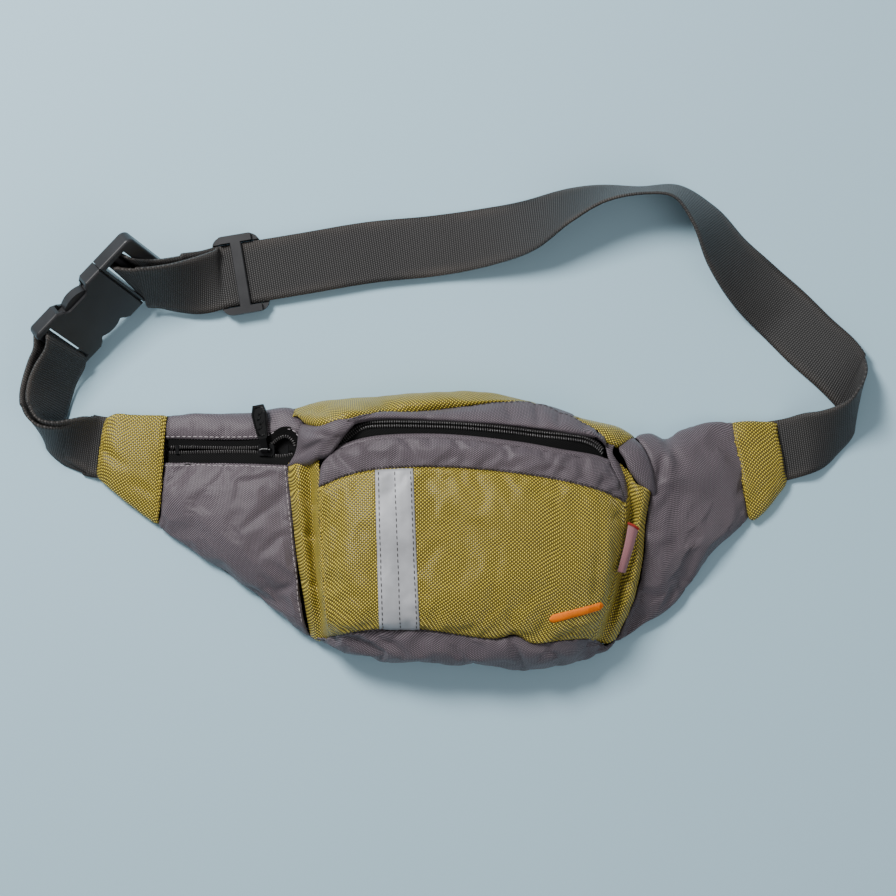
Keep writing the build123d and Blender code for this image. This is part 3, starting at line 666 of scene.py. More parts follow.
def make_pocket():
    """The gussets, the front, band, strip and top panels, and the folds at the shoulders."""
    panels = {}
    panel("side_gusset_left_cloth",
        [[(-82, -66, 6), (-77, -69, 9), (-73, -68.5, 12), (-68, -65, 27)],
         [(-83.5, -55, 12), (-78, -56.5, 16.5), (-74, -56.5, 17), (-69.5, -54.5, 39.5)],
         [(-85, -43, 18), (-79.5, -43.5, 23.5), (-75, -43.5, 21), (-71, -43, 41.3)],
         [(-89, -17, 22.5), (-82.5, -17.5, 29), (-77.5, -18.5, 23), (-73, -17, 43)],
         [(-93, 20, 24), (-86, 20, 33), (-79, 17.5, 27), (-74.2, 18, 43.5)],
         [(-94.5, 34, 24.5), (-87, 35, 32), (-80, 34, 29), (-74.3, 29, 43)],
         [(-94, 42, 24.5), (-87, 45, 30), (-80, 46, 33), (-75, 44, 39)]],
        OLIVE, "olive_nylon", replaces=["side_gusset_left"], puff=0.8, pucker=1.0, swell=1.2, seed=16,
        cell=1.3, outside=(-0.5, 0, 1),
        creases=[((-90, 30), (-79, 16), 1.6, 2.6), ((-88, 2), (-77, -4), 1.2, 2.2),
                 ((-85, -30), (-76, -34), 1.2, 2.4)])
    panels["front"] = panel("front_panel_cloth",
        [[(-68, -65, 27), (-58, -62, 40), (-40, -59.5, 41.5), (-12, -59.5, 42), (34, -65, 41.5),
          (45, -63, 40), (55, -68, 39), (74, -66.5, 37.5), (92.5, -66, 30)],
         [(-70, -54, 40), (-55, -52.5, 45.5), (0, -52, 47.5), (58, -56.5, 45.5), (78, -56.5, 43.5),
          (91, -54, 40), (100, -52, 32)],
         [(-72, -27, 42.3), (-58, -26, 48), (0, -25, 51), (50, -26, 51), (84, -27, 48.5), (98, -26, 44.5),
          (107.5, -25, 34.5)],
         [(-74, 8, 43.5), (-60, 13, 48), (0, 17, 51.5), (48, 15, 51.5), (86, 8, 49), (102, 6, 45),
          (112.8, 4, 35)],
         PANEL_TOP_SEAM],
        OLIVE, "olive_nylon", replaces=["front_panel"], puff=1.2, pucker=1.1, swell=2.0, seed=18,
        settle_by=(0.012, 0.4, 2.5),
        creases=[((-66, -50), (-62, 10), 1.0, 3.2), ((92, -50), (96, 0), 1.4, 3.4),
                 ((-10, -50), (20, -38), 0.9, 6), ((40, 26), (60, 4), 0.9, 6),
                 ((44, -62), (40, -48), 1.4, 3.5), ((58, -64), (64, -52), 1.2, 3.5),
                 ((80, 18), (96, 8), 0.9, 4)])
    panels["band"] = panel("pocket_band_cloth",
        [PANEL_TOP_SEAM,
         [(-72, 42, 43), (-40, 49, 48), (0, 51, 48.8), (48, 47, 48), (84, 38.5, 45.8), (99, 34, 42.5),
          (109.5, 30, 37)],
         BAND_TOP],
        GREY, "grey_nylon", replaces=["pocket_band"], puff=0.8, pucker=1.3, swell=1.0, seed=21,
        settle_by=(0.03, 0.3, 2.0),
        creases=[((-66, 48), (-52, 38), 1.6, 3.2), ((-48, 54), (-38, 42), 1.1, 3),
                 ((-22, 56), (-12, 44), 1.0, 3), ((6, 57), (18, 43), 1.1, 3), ((34, 55), (46, 42), 1.0, 3),
                 ((60, 50), (70, 36), 1.2, 3), ((82, 46), (92, 28), 1.6, 3)])
    panel("pocket_band_zip_fold",
        [[(x, y + 1.6, z - 4.0) for x, y, z in BAND_TOP],
         [(x, y + 1.2, z - 1.5) for x, y, z in BAND_TOP],
         [(x, y - 0.6, z + 0.2) for x, y, z in BAND_TOP],
         [(x, y - 2.2, z + 0.15) for x, y, z in BAND_TOP]],
        GREY, "grey_nylon", puff=0, tuck=0, pucker=0.0, swell=0.0, seed=23, outside=(0, 0.6, 1))
    panel("pocket_band_side_flap",
        [[(113.3, 17.5, 35.5), (115, 21, 30), (115.5, 25, 25)],
         [(109.3, 30, 37), (111.5, 34, 33), (112, 38, 28)],
         [(102.8, 44.5, 36.5), (104.5, 48, 34), (105, 51, 31)],
         [(100.5, 54, 33.5), (106, 55.5, 29.5), (113, 56.5, 24)]],
        GREY, "grey_nylon", puff=0.4, pucker=0.5, swell=0.4, seed=24, outside=(1, 0, 1))
    panels["strip"] = panel("pocket_top_strip_cloth",
        [[(x, y - 1.8, z - 2.6) for x, y, z in STRIP_FOLD],
         STRIP_FOLD,
         [(-64, 62.5, 45), (-53, 68, 47.5), (-42, 70.8, 43.5), (0, 72, 40), (25, 72.5, 38.5),
          (45, 71.5, 36.5), (62, 69, 38), (78, 64, 40.5), (94, 60, 40), (101, 54.5, 34.5)],
         OLIVE_BOUNDARY,
         [(x + 0.3, y - 2.0, z - 5.0) for x, y, z in OLIVE_BOUNDARY]],
        GREY, "grey_nylon", replaces=["pocket_top_strip"], puff=0.4, tuck=0.3, pucker=0.7, swell=0.7,
        seed=25, outside=(0, 0.4, 1),
        creases=[((58, 78), (60, 66), 1.6, 2.6), ((40, 76), (44, 68), 1.2, 2.4),
                 ((72, 74), (72, 64), 1.4, 2.4), ((86, 66), (88, 58), 1.2, 2.4),
                 ((-10, 72), (-8, 68), 0.6, 3)])
    panel("top_panel_cloth",
        [[(-82, 64, 24), (-70, 61, 42), (-60, 64, 46), (-50, 67, 44), (-22, 70.5, 31), (0, 72.5, 28),
          (38, 77, 24), (62, 73.5, 19)],
         [(-88, 69.5, 23), (-72, 68, 43), (-60, 71, 47), (-49, 73, 45), (-34, 75, 34), (0, 78.5, 31),
          (30, 80, 28.5), (46, 79.5, 25), (62, 75.5, 20)],
         [(-92, 71.5, 19), (-73, 75.5, 26), (-56, 77.5, 35), (-37, 79.5, 27), (0, 83.3, 24), (30, 82.8, 22),
          (46, 80.5, 20), (62, 77.2, 17)],
         [(-93, 74, 10), (-74, 79, 11), (-37, 82.7, 12), (0, 85.7, 12), (30, 84.7, 12), (46, 81.5, 12),
          (62, 77.5, 12)],
         [(-90, 71, 1.5), (-72, 77, 1.5), (-37, 80, 1.5), (0, 83, 1.5), (30, 82, 1.5), (60, 75, 1.5)]],
        OLIVE, "olive_nylon", replaces=["top_panel"], puff=0.6, pucker=0.8, swell=1.2, seed=28,
        borders="lbr",
        creases=[((-80, 74), (-50, 69), 1.0, 2.4), ((-40, 80), (-20, 75), 0.8, 2.4),
                 ((10, 82), (34, 80), 0.8, 2.4)])
    panel("top_panel_right_corner",
        [[(82, 66, 22), (93, 58.5, 27), (101, 53.5, 29), (110, 49, 25)],
         [(83.5, 69, 25), (94, 60.5, 31), (102, 55.5, 33), (110.5, 51.5, 29)],
         [(80.5, 71, 20), (94.5, 65, 25), (106, 62, 26), (118, 57, 22)],
         [(79, 71.5, 10), (94.5, 67, 11), (107, 64, 12), (120, 58.5, 12)],
         [(79, 69, 1.5), (95, 63.5, 1.5), (107, 61, 1.5), (120, 56, 1.5)]],
        OLIVE, "olive_nylon", puff=0.8, pucker=0.8, swell=0.8, seed=31, borders="lbr")
    panel("top_panel_grey_insert",
        [[(54, 77.5, 17), (70, 74, 19), (86, 66.5, 22)],
         [(55, 79, 14), (70, 75.8, 15), (84, 70.5, 16)],
         [(56, 79, 8), (70, 76, 8), (84, 70.5, 8)],
         [(57, 76, 1.5), (70, 73, 1.5), (83, 68, 1.5)]],
        GREY, "grey_nylon", puff=0.4, pucker=0.5, swell=0.5, seed=33, borders="lr")
    panel("shoulder_fold_left",
        [[(-94.5, 38.5, 22), (-83, 40.5, 27), (-73, 43, 32), (-65, 46.5, 37)],
         [(-94, 41, 26.5), (-83, 43.5, 34), (-75, 45.5, 40.5), (-64.5, 49, 43.5)],
         [(-89.5, 50, 27), (-80, 50.5, 39), (-72, 52.5, 45), (-59.5, 56.5, 46.5)],
         [(-88.5, 57, 27), (-79, 55.5, 42), (-68, 57.5, 48.5), (-55.5, 61, 47.5)],
         [(-88, 62, 25.8), (-75.5, 60, 44.5), (-64, 62.5, 49), (-51.5, 66, 47.5)],
         [(-86, 66.5, 24), (-73, 65, 45), (-62, 68.5, 48), (-50, 70.5, 45.5)]],
        GREY, "grey_nylon", puff=0.6, pucker=0.9, swell=1.3, seed=35, cell=1.2,
        creases=[((-90, 46), (-70, 56), 2.2, 2.2), ((-84, 42), (-66, 50), -1.6, 2.4),
                 ((-80, 61), (-62, 57), 1.4, 2.0), ((-76, 43), (-70, 50), 1.4, 2.0)])
    panel("shoulder_fold_right",
        [[(126.5, 23.5, 22), (120, 29.5, 27), (115.5, 36.5, 28), (112, 43.5, 28), (108, 50, 27)],
         [(127.5, 24, 27), (121.5, 30.5, 31.5), (116.5, 37.5, 33.5), (113, 45, 33.5), (108.5, 51.5, 32)],
         [(130, 22.5, 27), (128, 31, 30), (126, 41, 30), (121, 50, 29.5), (115, 56.5, 26)],
         [(132.5, 21, 24), (132, 32, 26), (129, 43, 26.5), (124, 53, 24), (118, 59, 18)]],
        GREY, "grey_nylon", puff=0.8, pucker=0.6, swell=0.8, seed=38, cell=1.2, outside=(0, 0, 1))
    panel("side_gusset_right_cloth",
        [[(92.5, -66.5, 29), (98, -69.5, 14), (103, -70.5, 12), (109, -68.5, 6)],
         [(103, -43, 33.5), (107.5, -44, 22), (113, -43.5, 26), (119.5, -43, 17)],
         [(109, -18, 34.5), (112.5, -19, 24), (118.5, -18.5, 30), (124.8, -17.5, 21)],
         [(113, 6, 34.5), (115.5, 4, 25), (120.5, 5.5, 31), (126.5, 6.5, 24)],
         [(113.5, 20, 34), (116, 22, 28), (121.5, 23.5, 33), (129.5, 25.5, 25.5)],
         [(110, 42, 32), (113.5, 38, 31), (119.5, 30.5, 31), (127.5, 26.5, 26)]],
        OLIVE, "olive_nylon", replaces=["side_gusset_right"], puff=0.8, pucker=0.8, swell=1.2, seed=41,
        cell=1.3, outside=(0.5, 0, 1),
        creases=[((104, -60), (110, -30), 1.4, 2.2), ((117, 18), (122, 0), 1.0, 2.2),
                 ((114, -30), (120, -34), 1.0, 2)])
    panels["bottom"] = panel("bottom_gusset_cloth",
        [[(-80, -62, 1.5), (-62, -70, 1.5), (-36, -75, 1.5), (26, -79, 1.5), (52, -81, 1.5), (76, -77, 1.5),
          (101, -71, 1.5), (108, -67, 1.5)],
         [(-82, -66, 6), (-62, -74, 12), (-37, -79, 15), (-5, -81.5, 16), (26, -83.5, 16), (51, -85.5, 16),
          (76, -82, 15), (101, -75, 10), (109, -69, 6)],
         [(-77, -67.5, 12), (-62, -72.5, 25), (-37, -75, 30.5), (0, -76, 31.5), (36, -79, 31),
          (60, -80, 30), (84, -75.5, 25), (104, -71, 12)],
         [(-72, -67, 20), (-58, -67, 34.5), (-38, -66, 37.5), (0, -66.5, 38.5), (34, -71.5, 37.5),
          (56, -73, 36.5), (84, -70.5, 29), (99, -69.5, 16)],
         [(-68, -64.5, 26.5), (-58, -61.6, 39), (-40, -59, 40.7), (-12, -59, 41.2), (34, -64.5, 40.7),
          (45, -62.5, 39.2), (55, -67.5, 38.2), (74, -66, 36.8), (91, -65, 31)]],
        GREY, "grey_nylon", replaces=["bottom_gusset"], puff=0.8, pucker=1.1, swell=1.8, seed=44,
        borders="lrt", outside=(0, -1, 0.4), settle_by=(0.03, 0.4, 3.0),
        creases=[((-60, -64), (-36, -74), 2.2, 3.2), ((-44, -62), (-22, -72), 1.6, 3),
                 ((42, -66), (50, -82), 2.6, 3), ((60, -70), (74, -78), 1.6, 3),
                 ((0, -64), (14, -76), 1.2, 3), ((84, -68), (92, -74), 1.4, 3)])
    return panels


wings = make_wings()
tab_left, tab_right = make_tabs()
pocket = make_pocket()


# ---------------------------------------------------------------- back, foam and linings
SHEET_SEED, SHEET_CELL, SHEET_SWELL = 50, 3.0, 24.0     # seed, cell and size of the sheets' swells
CROWN_REACH = 8.0                                       # how far in from the border a crown rises


def flat_sheet(name, outline_low, outline_high, z, material, replaces, thickness=0.4, swell=0.15,
               crown=0.0):
    """A nearly flat sheet between two outlines; a crown makes it fuller towards its middle."""
    low = [(x, y, z) for x, y in outline_low]
    high = [(x, y, z) for x, y in outline_high]
    grid = surface([low, high], SHEET_CELL)
    d = border_distance(grid)
    full = crown * (1 - np.exp(-d / CROWN_REACH))
    grid[..., 2] += swell * noise_field(grid, SHEET_SWELL, SHEET_SEED) + full
    n = np.broadcast_to(np.array([0, 0, 1.0]), grid.shape)
    if crown:
        thickness = (thickness + full)[..., None]
    vertices, faces, uv = closed_shell(grid, n, thickness, uv_of(grid))
    obj = add_object(name, vertices, faces, material, uv=uv)
    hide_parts(*replaces)
    return obj


BACK_TOP = [(-213, 34), (-209, 68), (-169, 71), (-118, 72), (-92, 75.5), (-37, 83), (0, 85.5), (31, 84.5),
            (75, 73), (115, 59), (137, 54.5), (162, 62.5), (182, 65), (208, 65), (212, 31.5)]
BACK_BOTTOM = [(-213, 33.5), (-175, 3.5), (-131, -28), (-96, -53), (-74, -66), (-37, -78.5), (0, -80.5),
               (50, -84.5), (75, -81.5), (101, -70), (124, -55), (141, -43), (164, -16), (188, 7),
               (212, 31)]
flat_sheet("back_panel_cloth", BACK_BOTTOM, BACK_TOP, 1.35, MESH, ["back_panel"], thickness=1.0,
           swell=0.1)
PAD_BOTTOM = [(-82, -50), (-60, -60), (0, -71), (50, -73), (99, -63), (120, -49)]
PAD_TOP = [(-82, 64), (-60, 72), (0, 79), (50, 72), (99, 57), (120, 49)]
flat_sheet("back_foam_pad", PAD_BOTTOM, PAD_TOP, 3.2, FOAM, ["back_foam"], thickness=1.2, swell=0.0,
           crown=1.6)
flat_sheet("back_lining_cloth", PAD_BOTTOM, PAD_TOP, 5.4, LINING, ["back_lining"])
flat_sheet("pocket_divider_cloth", [(-65, -56), (0, -57), (89, -56)], [(-65, 52), (0, 55), (78, 54)], 22.4,
           LINING, ["pocket_divider"], swell=0.5)
flat_sheet("wing_pocket_lining_cloth", [(-161, 9), (-97, -40)], [(-161, 65), (-97, 69)], 2.5,
           LINING, ["wing_pocket_lining"])


# ---------------------------------------------------------------- buckle frame, for the straps that meet it
BUCKLE_CENTRE = np.array([-208.5, 140.8, 27.0])
BUCKLE_HEADING, BUCKLE_PITCH, BUCKLE_ROLL = (math.radians(a) for a in (45.8, 4.0, 54.0))


def buckle_axes():
    h, p, r = BUCKLE_HEADING, BUCKLE_PITCH, BUCKLE_ROLL
    along = np.array([math.cos(h) * math.cos(p), math.sin(h) * math.cos(p), math.sin(p)])
    level = np.array([-math.sin(h), math.cos(h), 0.0])
    raised = level * math.cos(r) + np.cross(along, level) * math.sin(r)
    return np.array([along, raised, np.cross(along, raised)])


BUCKLE_AXES = buckle_axes()


def by_buckle(x, high, low, z, skew=0.0):
    """A webbing station in the buckle's own frame: its raised edge, and its low edge `skew` further back."""
    ends = ((x, high, z), (x - skew, low, z))
    return tuple(tuple(BUCKLE_CENTRE + np.array(end) @ BUCKLE_AXES) for end in ends)


BAR_REACH = 3.9          # from the middle of a bar to the middle of the webbing round it


def round_bar(x, angles, high, low):
    """Stations of webbing going round a bar, at angles about the bar."""
    turns = [math.radians(t) for t in angles]
    return [by_buckle(x + BAR_REACH * math.cos(t), high, low, BAR_REACH * math.sin(t)) for t in turns]


# ---------------------------------------------------------------- webbing
BUNCHED = 34.0          # stations narrower than this are bunched, and keep the width they are given
STRAP_CELL, STRAP_COLUMNS = 1.2, 13
SELVEDGE, SELVEDGE_THICKNESS = 0.45, 1.2        # shares: where the woven edge begins, and how thick it is
SAG, SAG_SIZE, SAG_SEED = 0.5, 34.0, 61
FLOOR_GAP = 0.2                                 # the webbing's underside stays this far above the floor


def webbing(name, stations, replaces, body="pack"):
    """Flat webbing through stations given by its two edges, with thicker woven edges."""
    grid = through([(np.array(a, float), np.array(b, float)) for a, b in stations],
                   int(line_length([(np.array(a) + np.array(b)) / 2 for a, b in stations]) / STRAP_CELL))
    first, second = grid[:, 0], grid[:, 1]
    middle, across = (first + second) / 2, second - first
    width = np.linalg.norm(across, axis=1, keepdims=True)
    true_width = np.where(width < BUNCHED, np.minimum(width + 1.0, WEBBING_WIDTH), WEBBING_WIDTH)
    across = across / width * true_width
    share = np.linspace(-0.5, 0.5, STRAP_COLUMNS)
    cloth = middle[:, None] + across[:, None] * share[None, :, None]
    n = np.cross(np.gradient(cloth, axis=0), np.gradient(cloth, axis=1))
    n /= np.linalg.norm(n, axis=2, keepdims=True)
    sag = SAG * noise_field(cloth, SAG_SIZE, SAG_SEED)
    thick = WEBBING_THICKNESS * np.where(np.abs(share) > SELVEDGE, SELVEDGE_THICKNESS, 1.0)[None, :, None]
    top = cloth + n * (sag[..., None] + thick / 2)
    lift = np.maximum(0.0, FLOOR_GAP - (top - n * thick)[..., 2].min(axis=1))
    top[..., 2] += lift[:, None]
    u, v = reach(cloth)
    uv = np.stack([np.broadcast_to((share + 0.5) * WEBBING_WIDTH, u.shape),
                   np.broadcast_to(v.mean(axis=1, keepdims=True), u.shape)], axis=2)
    vertices, faces, uvs = closed_shell(top, n, thick, uv)
    obj = add_object(name, vertices, faces, WEBBING, body=body, uv=uvs)
    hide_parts(*replaces)
    return obj


WAIST_RUN = [
    ((190, 66.5, 3.6), (196, 29, 3.6)), ((204, 67, 3.8), (210, 31, 3.8)), ((213, 68, 5), (218, 33, 3)),
    ((223, 70.5, 11), (229, 37, 6)), ((233, 73, 20), (239, 41, 3.5)), ((243, 76.5, 27), (247, 49, 2.5)),
    ((251, 81, 29), (254, 57, 2)), ((257, 88, 25), (257, 64, 1.2)), ((262, 97, 17), (255.5, 69, 1)),
    ((262.5, 106, 9), (249, 76, 1)), ((256.5, 116, 5.5), (237.5, 88, 1)), ((242, 131, 3), (217, 105, 1)),
    ((227, 147, 1.2), (200, 121, 2)), ((208, 164, 1), (182, 138, 11)), ((189, 181, 1), (164, 163, 24)),
    ((170, 201, 1), (154, 188, 33)), ((148, 214, 1), (142, 204, 37)), ((124, 213, 1), (125, 206, 37.5)),
    ((101, 214, 1), (100, 201, 36)), ((81, 212, 1), (79, 189, 31)), ((52, 205, 1), (56, 172, 21)),
    ((22, 199, 1), (26, 163, 11)), ((-7, 195, 1.5), (-3, 158, 6)),
]
BELT_TURN = math.radians(9.5)
BELT_RUN = np.array([math.cos(BELT_TURN), math.sin(BELT_TURN), 0.0])
BELT_ACROSS = np.array([-math.sin(BELT_TURN), math.cos(BELT_TURN), 0.0])
ADJUSTER_CENTRE = np.array([-124.2, 159.0, 0.0])


def belt_station(distance, height):
    middle = ADJUSTER_CENTRE + BELT_RUN * distance + np.array([0, 0, height])
    return tuple(middle + BELT_ACROSS * WEBBING_WIDTH / 2), tuple(middle - BELT_ACROSS * WEBBING_WIDTH / 2)


def make_straps():
    """The long waist strap and the short left one, each in one piece from end to end."""
    flat = [belt_station(d, 5.6) for d in (82, 40, 0, -11)]
    to_buckle = [
        ((-139, 174, 12), (-139, 135.5, 6)), ((-148, 169.5, 21), (-150, 134, 5)),
        ((-160, 164.5, 30), (-162.5, 136, 5.5)), ((-171, 161, 36), (-174, 139, 8)),
        ((-183, 159, 40.5), (-181.5, 139.8, 12)), by_buckle(24.6, 13.5, -20.5, 7.0, 2.6),
        by_buckle(22.0, 15.0, -19.8, 4.5, 2.4), by_buckle(21.4, 16.0, -19.4, 1.0, 2.2),
        by_buckle(22.2, 16.0, -19.0, -2.2, 1.5),
    ]
    below = round_bar(27.0, (240, 270, 300, 330, 350), 16.0, -19.0)
    from_buckle = [
        by_buckle(31.7, 16.0, -19.0, 3.0), by_buckle(33.4, 13.5, -20.0, 6.4),
        ((-179, 165.5, 34), (-172, 147, 12)), ((-171, 166, 29), (-165, 144, 5)),
        ((-160, 168.5, 21.5), (-157, 141, 2)), ((-149, 172, 13), (-148, 137.5, 1)),
        ((-139, 175.5, 4), (-136, 139, 1)), belt_station(-6, 0.95), belt_station(12, 0.95),
    ]
    webbing("waist_strap_webbing", WAIST_RUN + flat + to_buckle + below + from_buckle, ["waist_strap"])
    front = [
        ((-199, 69, 4.6), (-203, 32.5, 4.6)), ((-211, 69.5, 5.6), (-215, 34.5, 4)),
        ((-220, 70, 16), (-226, 40, 3.5)), ((-228, 68, 24), (-234, 44.5, 3)),
        ((-236, 66.5, 29.5), (-240.5, 51, 3)), ((-244.7, 68.2, 31), (-242, 56, 3)),
        ((-249.5, 73.3, 31), (-239, 61, 3)), ((-252, 82, 30.5), (-234.5, 69, 3)),
        ((-251, 91.4, 30.5), (-231, 80, 3)), ((-246.5, 101, 33), (-227.5, 91, 5)),
        ((-239.5, 111.7, 38), (-221.5, 101.5, 9)), by_buckle(-36.0, 17.5, -18.5, 6.0, -2.2),
        by_buckle(-34.6, 18.3, -18.5, 2.5, -1.8), by_buckle(-33.6, 18.8, -18.8, -1.5),
    ]
    under = round_bar(-38.6, (-60, -95), 18.8, -18.8)
    back = [
        ((-247.5, 112, 34), (-229.5, 98, 5)), ((-251.5, 104, 30.5), (-232.5, 89, 2)),
        ((-255.2, 92, 28.5), (-235, 79, 1)), ((-256.5, 82, 28), (-238, 68, 1)),
        ((-253.5, 71.5, 29), (-243, 58.5, 1)), ((-246.5, 65.2, 29), (-245.5, 53, 1)),
        ((-237, 63.8, 27), (-243, 48.5, 1)), ((-228, 65.5, 21.5), (-235.5, 42, 1)),
        ((-220, 68.5, 13), (-227, 38, 1)), ((-211, 69, 3.4), (-215, 34, 2.0)),
        ((-199, 69, 2.6), (-203, 32.5, 2.6)),
    ]
    left = webbing("strap_left_webbing", front + under + back, ["strap_left"], body=None)
    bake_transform(left)


make_straps()


# ---------------------------------------------------------------- zips
class Zip:
    """A zip's own plane, as the frame has it."""

    def __init__(self, centre, along, normal):
        self.centre = np.array(centre, float)
        x = np.array(along, float) / np.linalg.norm(along)
        z = np.array(normal, float) - x * (x @ np.array(normal, float))
        z /= np.linalg.norm(z)
        self.axes = np.array([x, np.cross(z, x), z])

    def at(self, x, y, z=0.0):
        return tuple(self.centre + np.array([x, y, z]) @ self.axes)

    def line(self, *places):
        """A line of points through places in the zip's plane."""
        return [self.at(*place) for place in places]


TOOTH_LENGTH, TOOTH_RADIUS = 2.3, 0.44
TOOTH_LIFT, TOOTH_OUT, TOOTH_SLANT = 0.6, 0.1, 0.35


def coil(name, path, replaces=(), side=1.0, pitch=1.45, normal=(0, 0, 1)):
    """One row of a coil zip: slanting nylon loops along a path."""
    count = int(line_length(path) / pitch)
    points = through(path, count + 1)
    run = np.gradient(points, axis=0)
    run /= np.linalg.norm(run, axis=1, keepdims=True)
    n = np.broadcast_to(np.asarray(normal, float), points.shape)
    out = np.cross(n, run) * side
    out /= np.linalg.norm(out, axis=1, keepdims=True)
    centres, directions, ups = [], [], []
    for k in range(count):
        centres.append(points[k] + out[k] * TOOTH_OUT + n[k] * TOOTH_LIFT)
        directions.append(out[k] * TOOTH_LENGTH + run[k] * TOOTH_SLANT)
        ups.append(n[k])
    obj = beads(name, centres, directions, TOOTH_LENGTH, TOOTH_RADIUS, COIL, sides=8, flat=0.9,
                ups=ups)
    if replaces:
        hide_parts(*replaces)
    return obj


WING_ZIP = Zip((-107, 50, 18.2), (0.984, 0, 0.179), (0, 0, 1))
FRONT_ZIP_LINE = [(-61.5, 53, 38.2), (-57, 57.5, 39), (-51.5, 62, 39.8), (-45, 65, 40.2), (-36, 65.7, 40.3),
                  (0, 65.2, 40.3), (20, 64, 40.2), (41, 62, 40), (60, 59.6, 39.3), (79, 57.6, 38.8),
                  (88, 56, 38.2), (95, 52.5, 37), (99, 48, 35.8)]


def make_wing_zip():
    """The wing zip's tapes and coils, which stand open beyond the slider, and the cloth seen inside."""
    line = WING_ZIP.line
    panel("wing_zip_tape_upper",
        [line((-63, 0.9), (-3, 0.9), (3, 2.2), (8, 7.2, 0.3), (13, 8.6, 0.5), (17.5, 4.5, 0.5),
              (18.5, 1, 0.3)),
         line((-63, 4.5, 0.2), (-3, 4.8, 0.3), (4, 6.5, 0.6), (9, 10.2, 1.0), (14.5, 10.8, 1.2),
              (19.5, 6.5, 1.2), (21, 2, 1.0)),
         line((-63, 9.5, 0.6), (-3, 10, 1.0), (4, 11, 1.6), (10, 14, 2.0), (17, 13.5, 2.2),
              (21.5, 8.5, 2.2), (22.5, 3, 2))],
        TAPE, "zip_tape", thickness=0.6, puff=0, tuck=0, pucker=0.15, swell=0.2, seed=63, cell=1.0,
        outside=(0, 0, 1))
    panel("wing_zip_tape_lower",
        [line((-63, -10, 0.8), (-3, -10, 1.2), (8, -10.3, 1.8), (17, -9, 2.0)),
         line((-63, -5, 0.3), (-10, -5, 0.5), (2, -5.8, 1.4), (10, -5.6, 1.2), (18, -5.0, 1.2)),
         line((-63, -0.9), (-3, -0.9), (4, -3.4, 0.4), (11, -3.8, 0.6), (18, -2.5, 0.4))],
        TAPE, "zip_tape", replaces=["wing_zip_tapes"], thickness=0.6, puff=0, tuck=0, pucker=0.2, swell=0.3,
        seed=65, cell=1.0, outside=(0, 0, 1))
    panel("wing_zip_pocket_inside",
        [line((-4, -9, -3.5), (8, -10, -3.5), (20, -8, -3.0)),
         line((-4, 0, -4.2), (8, 0, -4.5), (21, 0, -4.0)),
         line((-4, 9, -3.5), (8, 13, -3.5), (20, 11, -3.0))],
        LINING, "lining", puff=0, tuck=0, pucker=0, swell=0.4, seed=67, outside=(0, 0, 1))
    upper = line((-61, 1.6), (-4, 1.6), (2.5, 2.9, 0.3), (7.5, 6.8, 0.5), (12.5, 8.2, 0.7), (17, 4.6, 0.7),
                 (18, 1.4, 0.5))
    lower = line((-61.7, -1.6), (-4, -1.6), (3, -3.2, 0.4), (10.5, -3.6, 0.7), (17.5, -2.3, 0.6))
    coil("wing_zip_coil_upper", upper, ["wing_zip_coil"], side=1, pitch=1.4)
    coil("wing_zip_coil_lower", lower, side=-1)


def make_front_zip():
    """The front zip's tapes and coils along their curved line."""
    line = FRONT_ZIP_LINE
    panel("front_zip_tape_lower",
        [[(x, y - 1.0, z - 2.6) for x, y, z in BAND_TOP],
         [(-61, 53.8, 38.6), (-50, 60.2, 40.2), (-40, 62, 40.8), (0, 62.6, 40.8), (44, 59.5, 40.4),
          (76, 54.6, 39.4), (98, 47.6, 36.2)],
         [(x, y - 1.2, z + 0.1) for x, y, z in line]],
        TAPE, "zip_tape", replaces=["front_zip_tapes"], thickness=0.6, puff=0, tuck=0, pucker=0.15,
        swell=0.2, seed=71, cell=1.1, outside=(0, 0.4, 1))
    panel("front_zip_tape_upper",
        [[(x, y - 0.2, z - 0.6) for x, y, z in line],
         [(x, y + 3.5, z - 0.6) for x, y, z in line]],
        TAPE, "zip_tape", thickness=0.6, puff=0, tuck=0, pucker=0, swell=0, seed=73, cell=1.1,
        outside=(0, 0.4, 1))
    coil("front_zip_coil_lower", [(x, y - 1.2, z + 0.5) for x, y, z in line], ["front_zip_coil"], side=-1,
         normal=(0, 0.35, 0.94))
    coil("front_zip_coil_upper", [(x, y + 1.2, z + 0.2) for x, y, z in line], side=1, normal=(0, 0.35, 0.94))


def make_puller_ridges():
    """A raised rim and slanting ridges on the wing zip's puller."""
    lean, droop, axis_height, neck = math.radians(10), math.radians(5), 5.0, 6.5

    def on_puller(x, y):
        """The point on the puller's top, x across and y out from its hinge."""
        forward = neck + (y - neck) * math.cos(droop)
        height = axis_height + 1.0 - (y - neck) * math.sin(droop)
        return np.array(WING_ZIP.at(x * math.cos(lean) - forward * math.sin(lean),
                                    x * math.sin(lean) + forward * math.cos(lean), height))

    rim = [(-2.2, 9.5), (-3.3, 15), (-3.9, 21.5), (-2.8, 26), (0, 26.8), (2.8, 26), (3.9, 21.5), (3.3, 15),
           (2.2, 9.5), (0, 8.8), (-2.2, 9.5)]
    tube("wing_puller_rim", [on_puller(x, y) for x, y in rim], 0.45, PULLER,
         body="wing_zip_puller_body")
    rows = [(-0.6, 13.5), (0.6, 16.5), (-0.4, 19.5), (0.6, 22.5)]
    centres = [on_puller(x, y) for x, y in rows]
    slant = [on_puller(x + 1, y + 0.7) - on_puller(x - 1, y - 0.7) for x, y in rows]
    beads("wing_puller_ridges", centres, slant, 3.6, 0.55, PULLER,
          body="wing_zip_puller_body")


make_wing_zip()
make_front_zip()
make_puller_ridges()


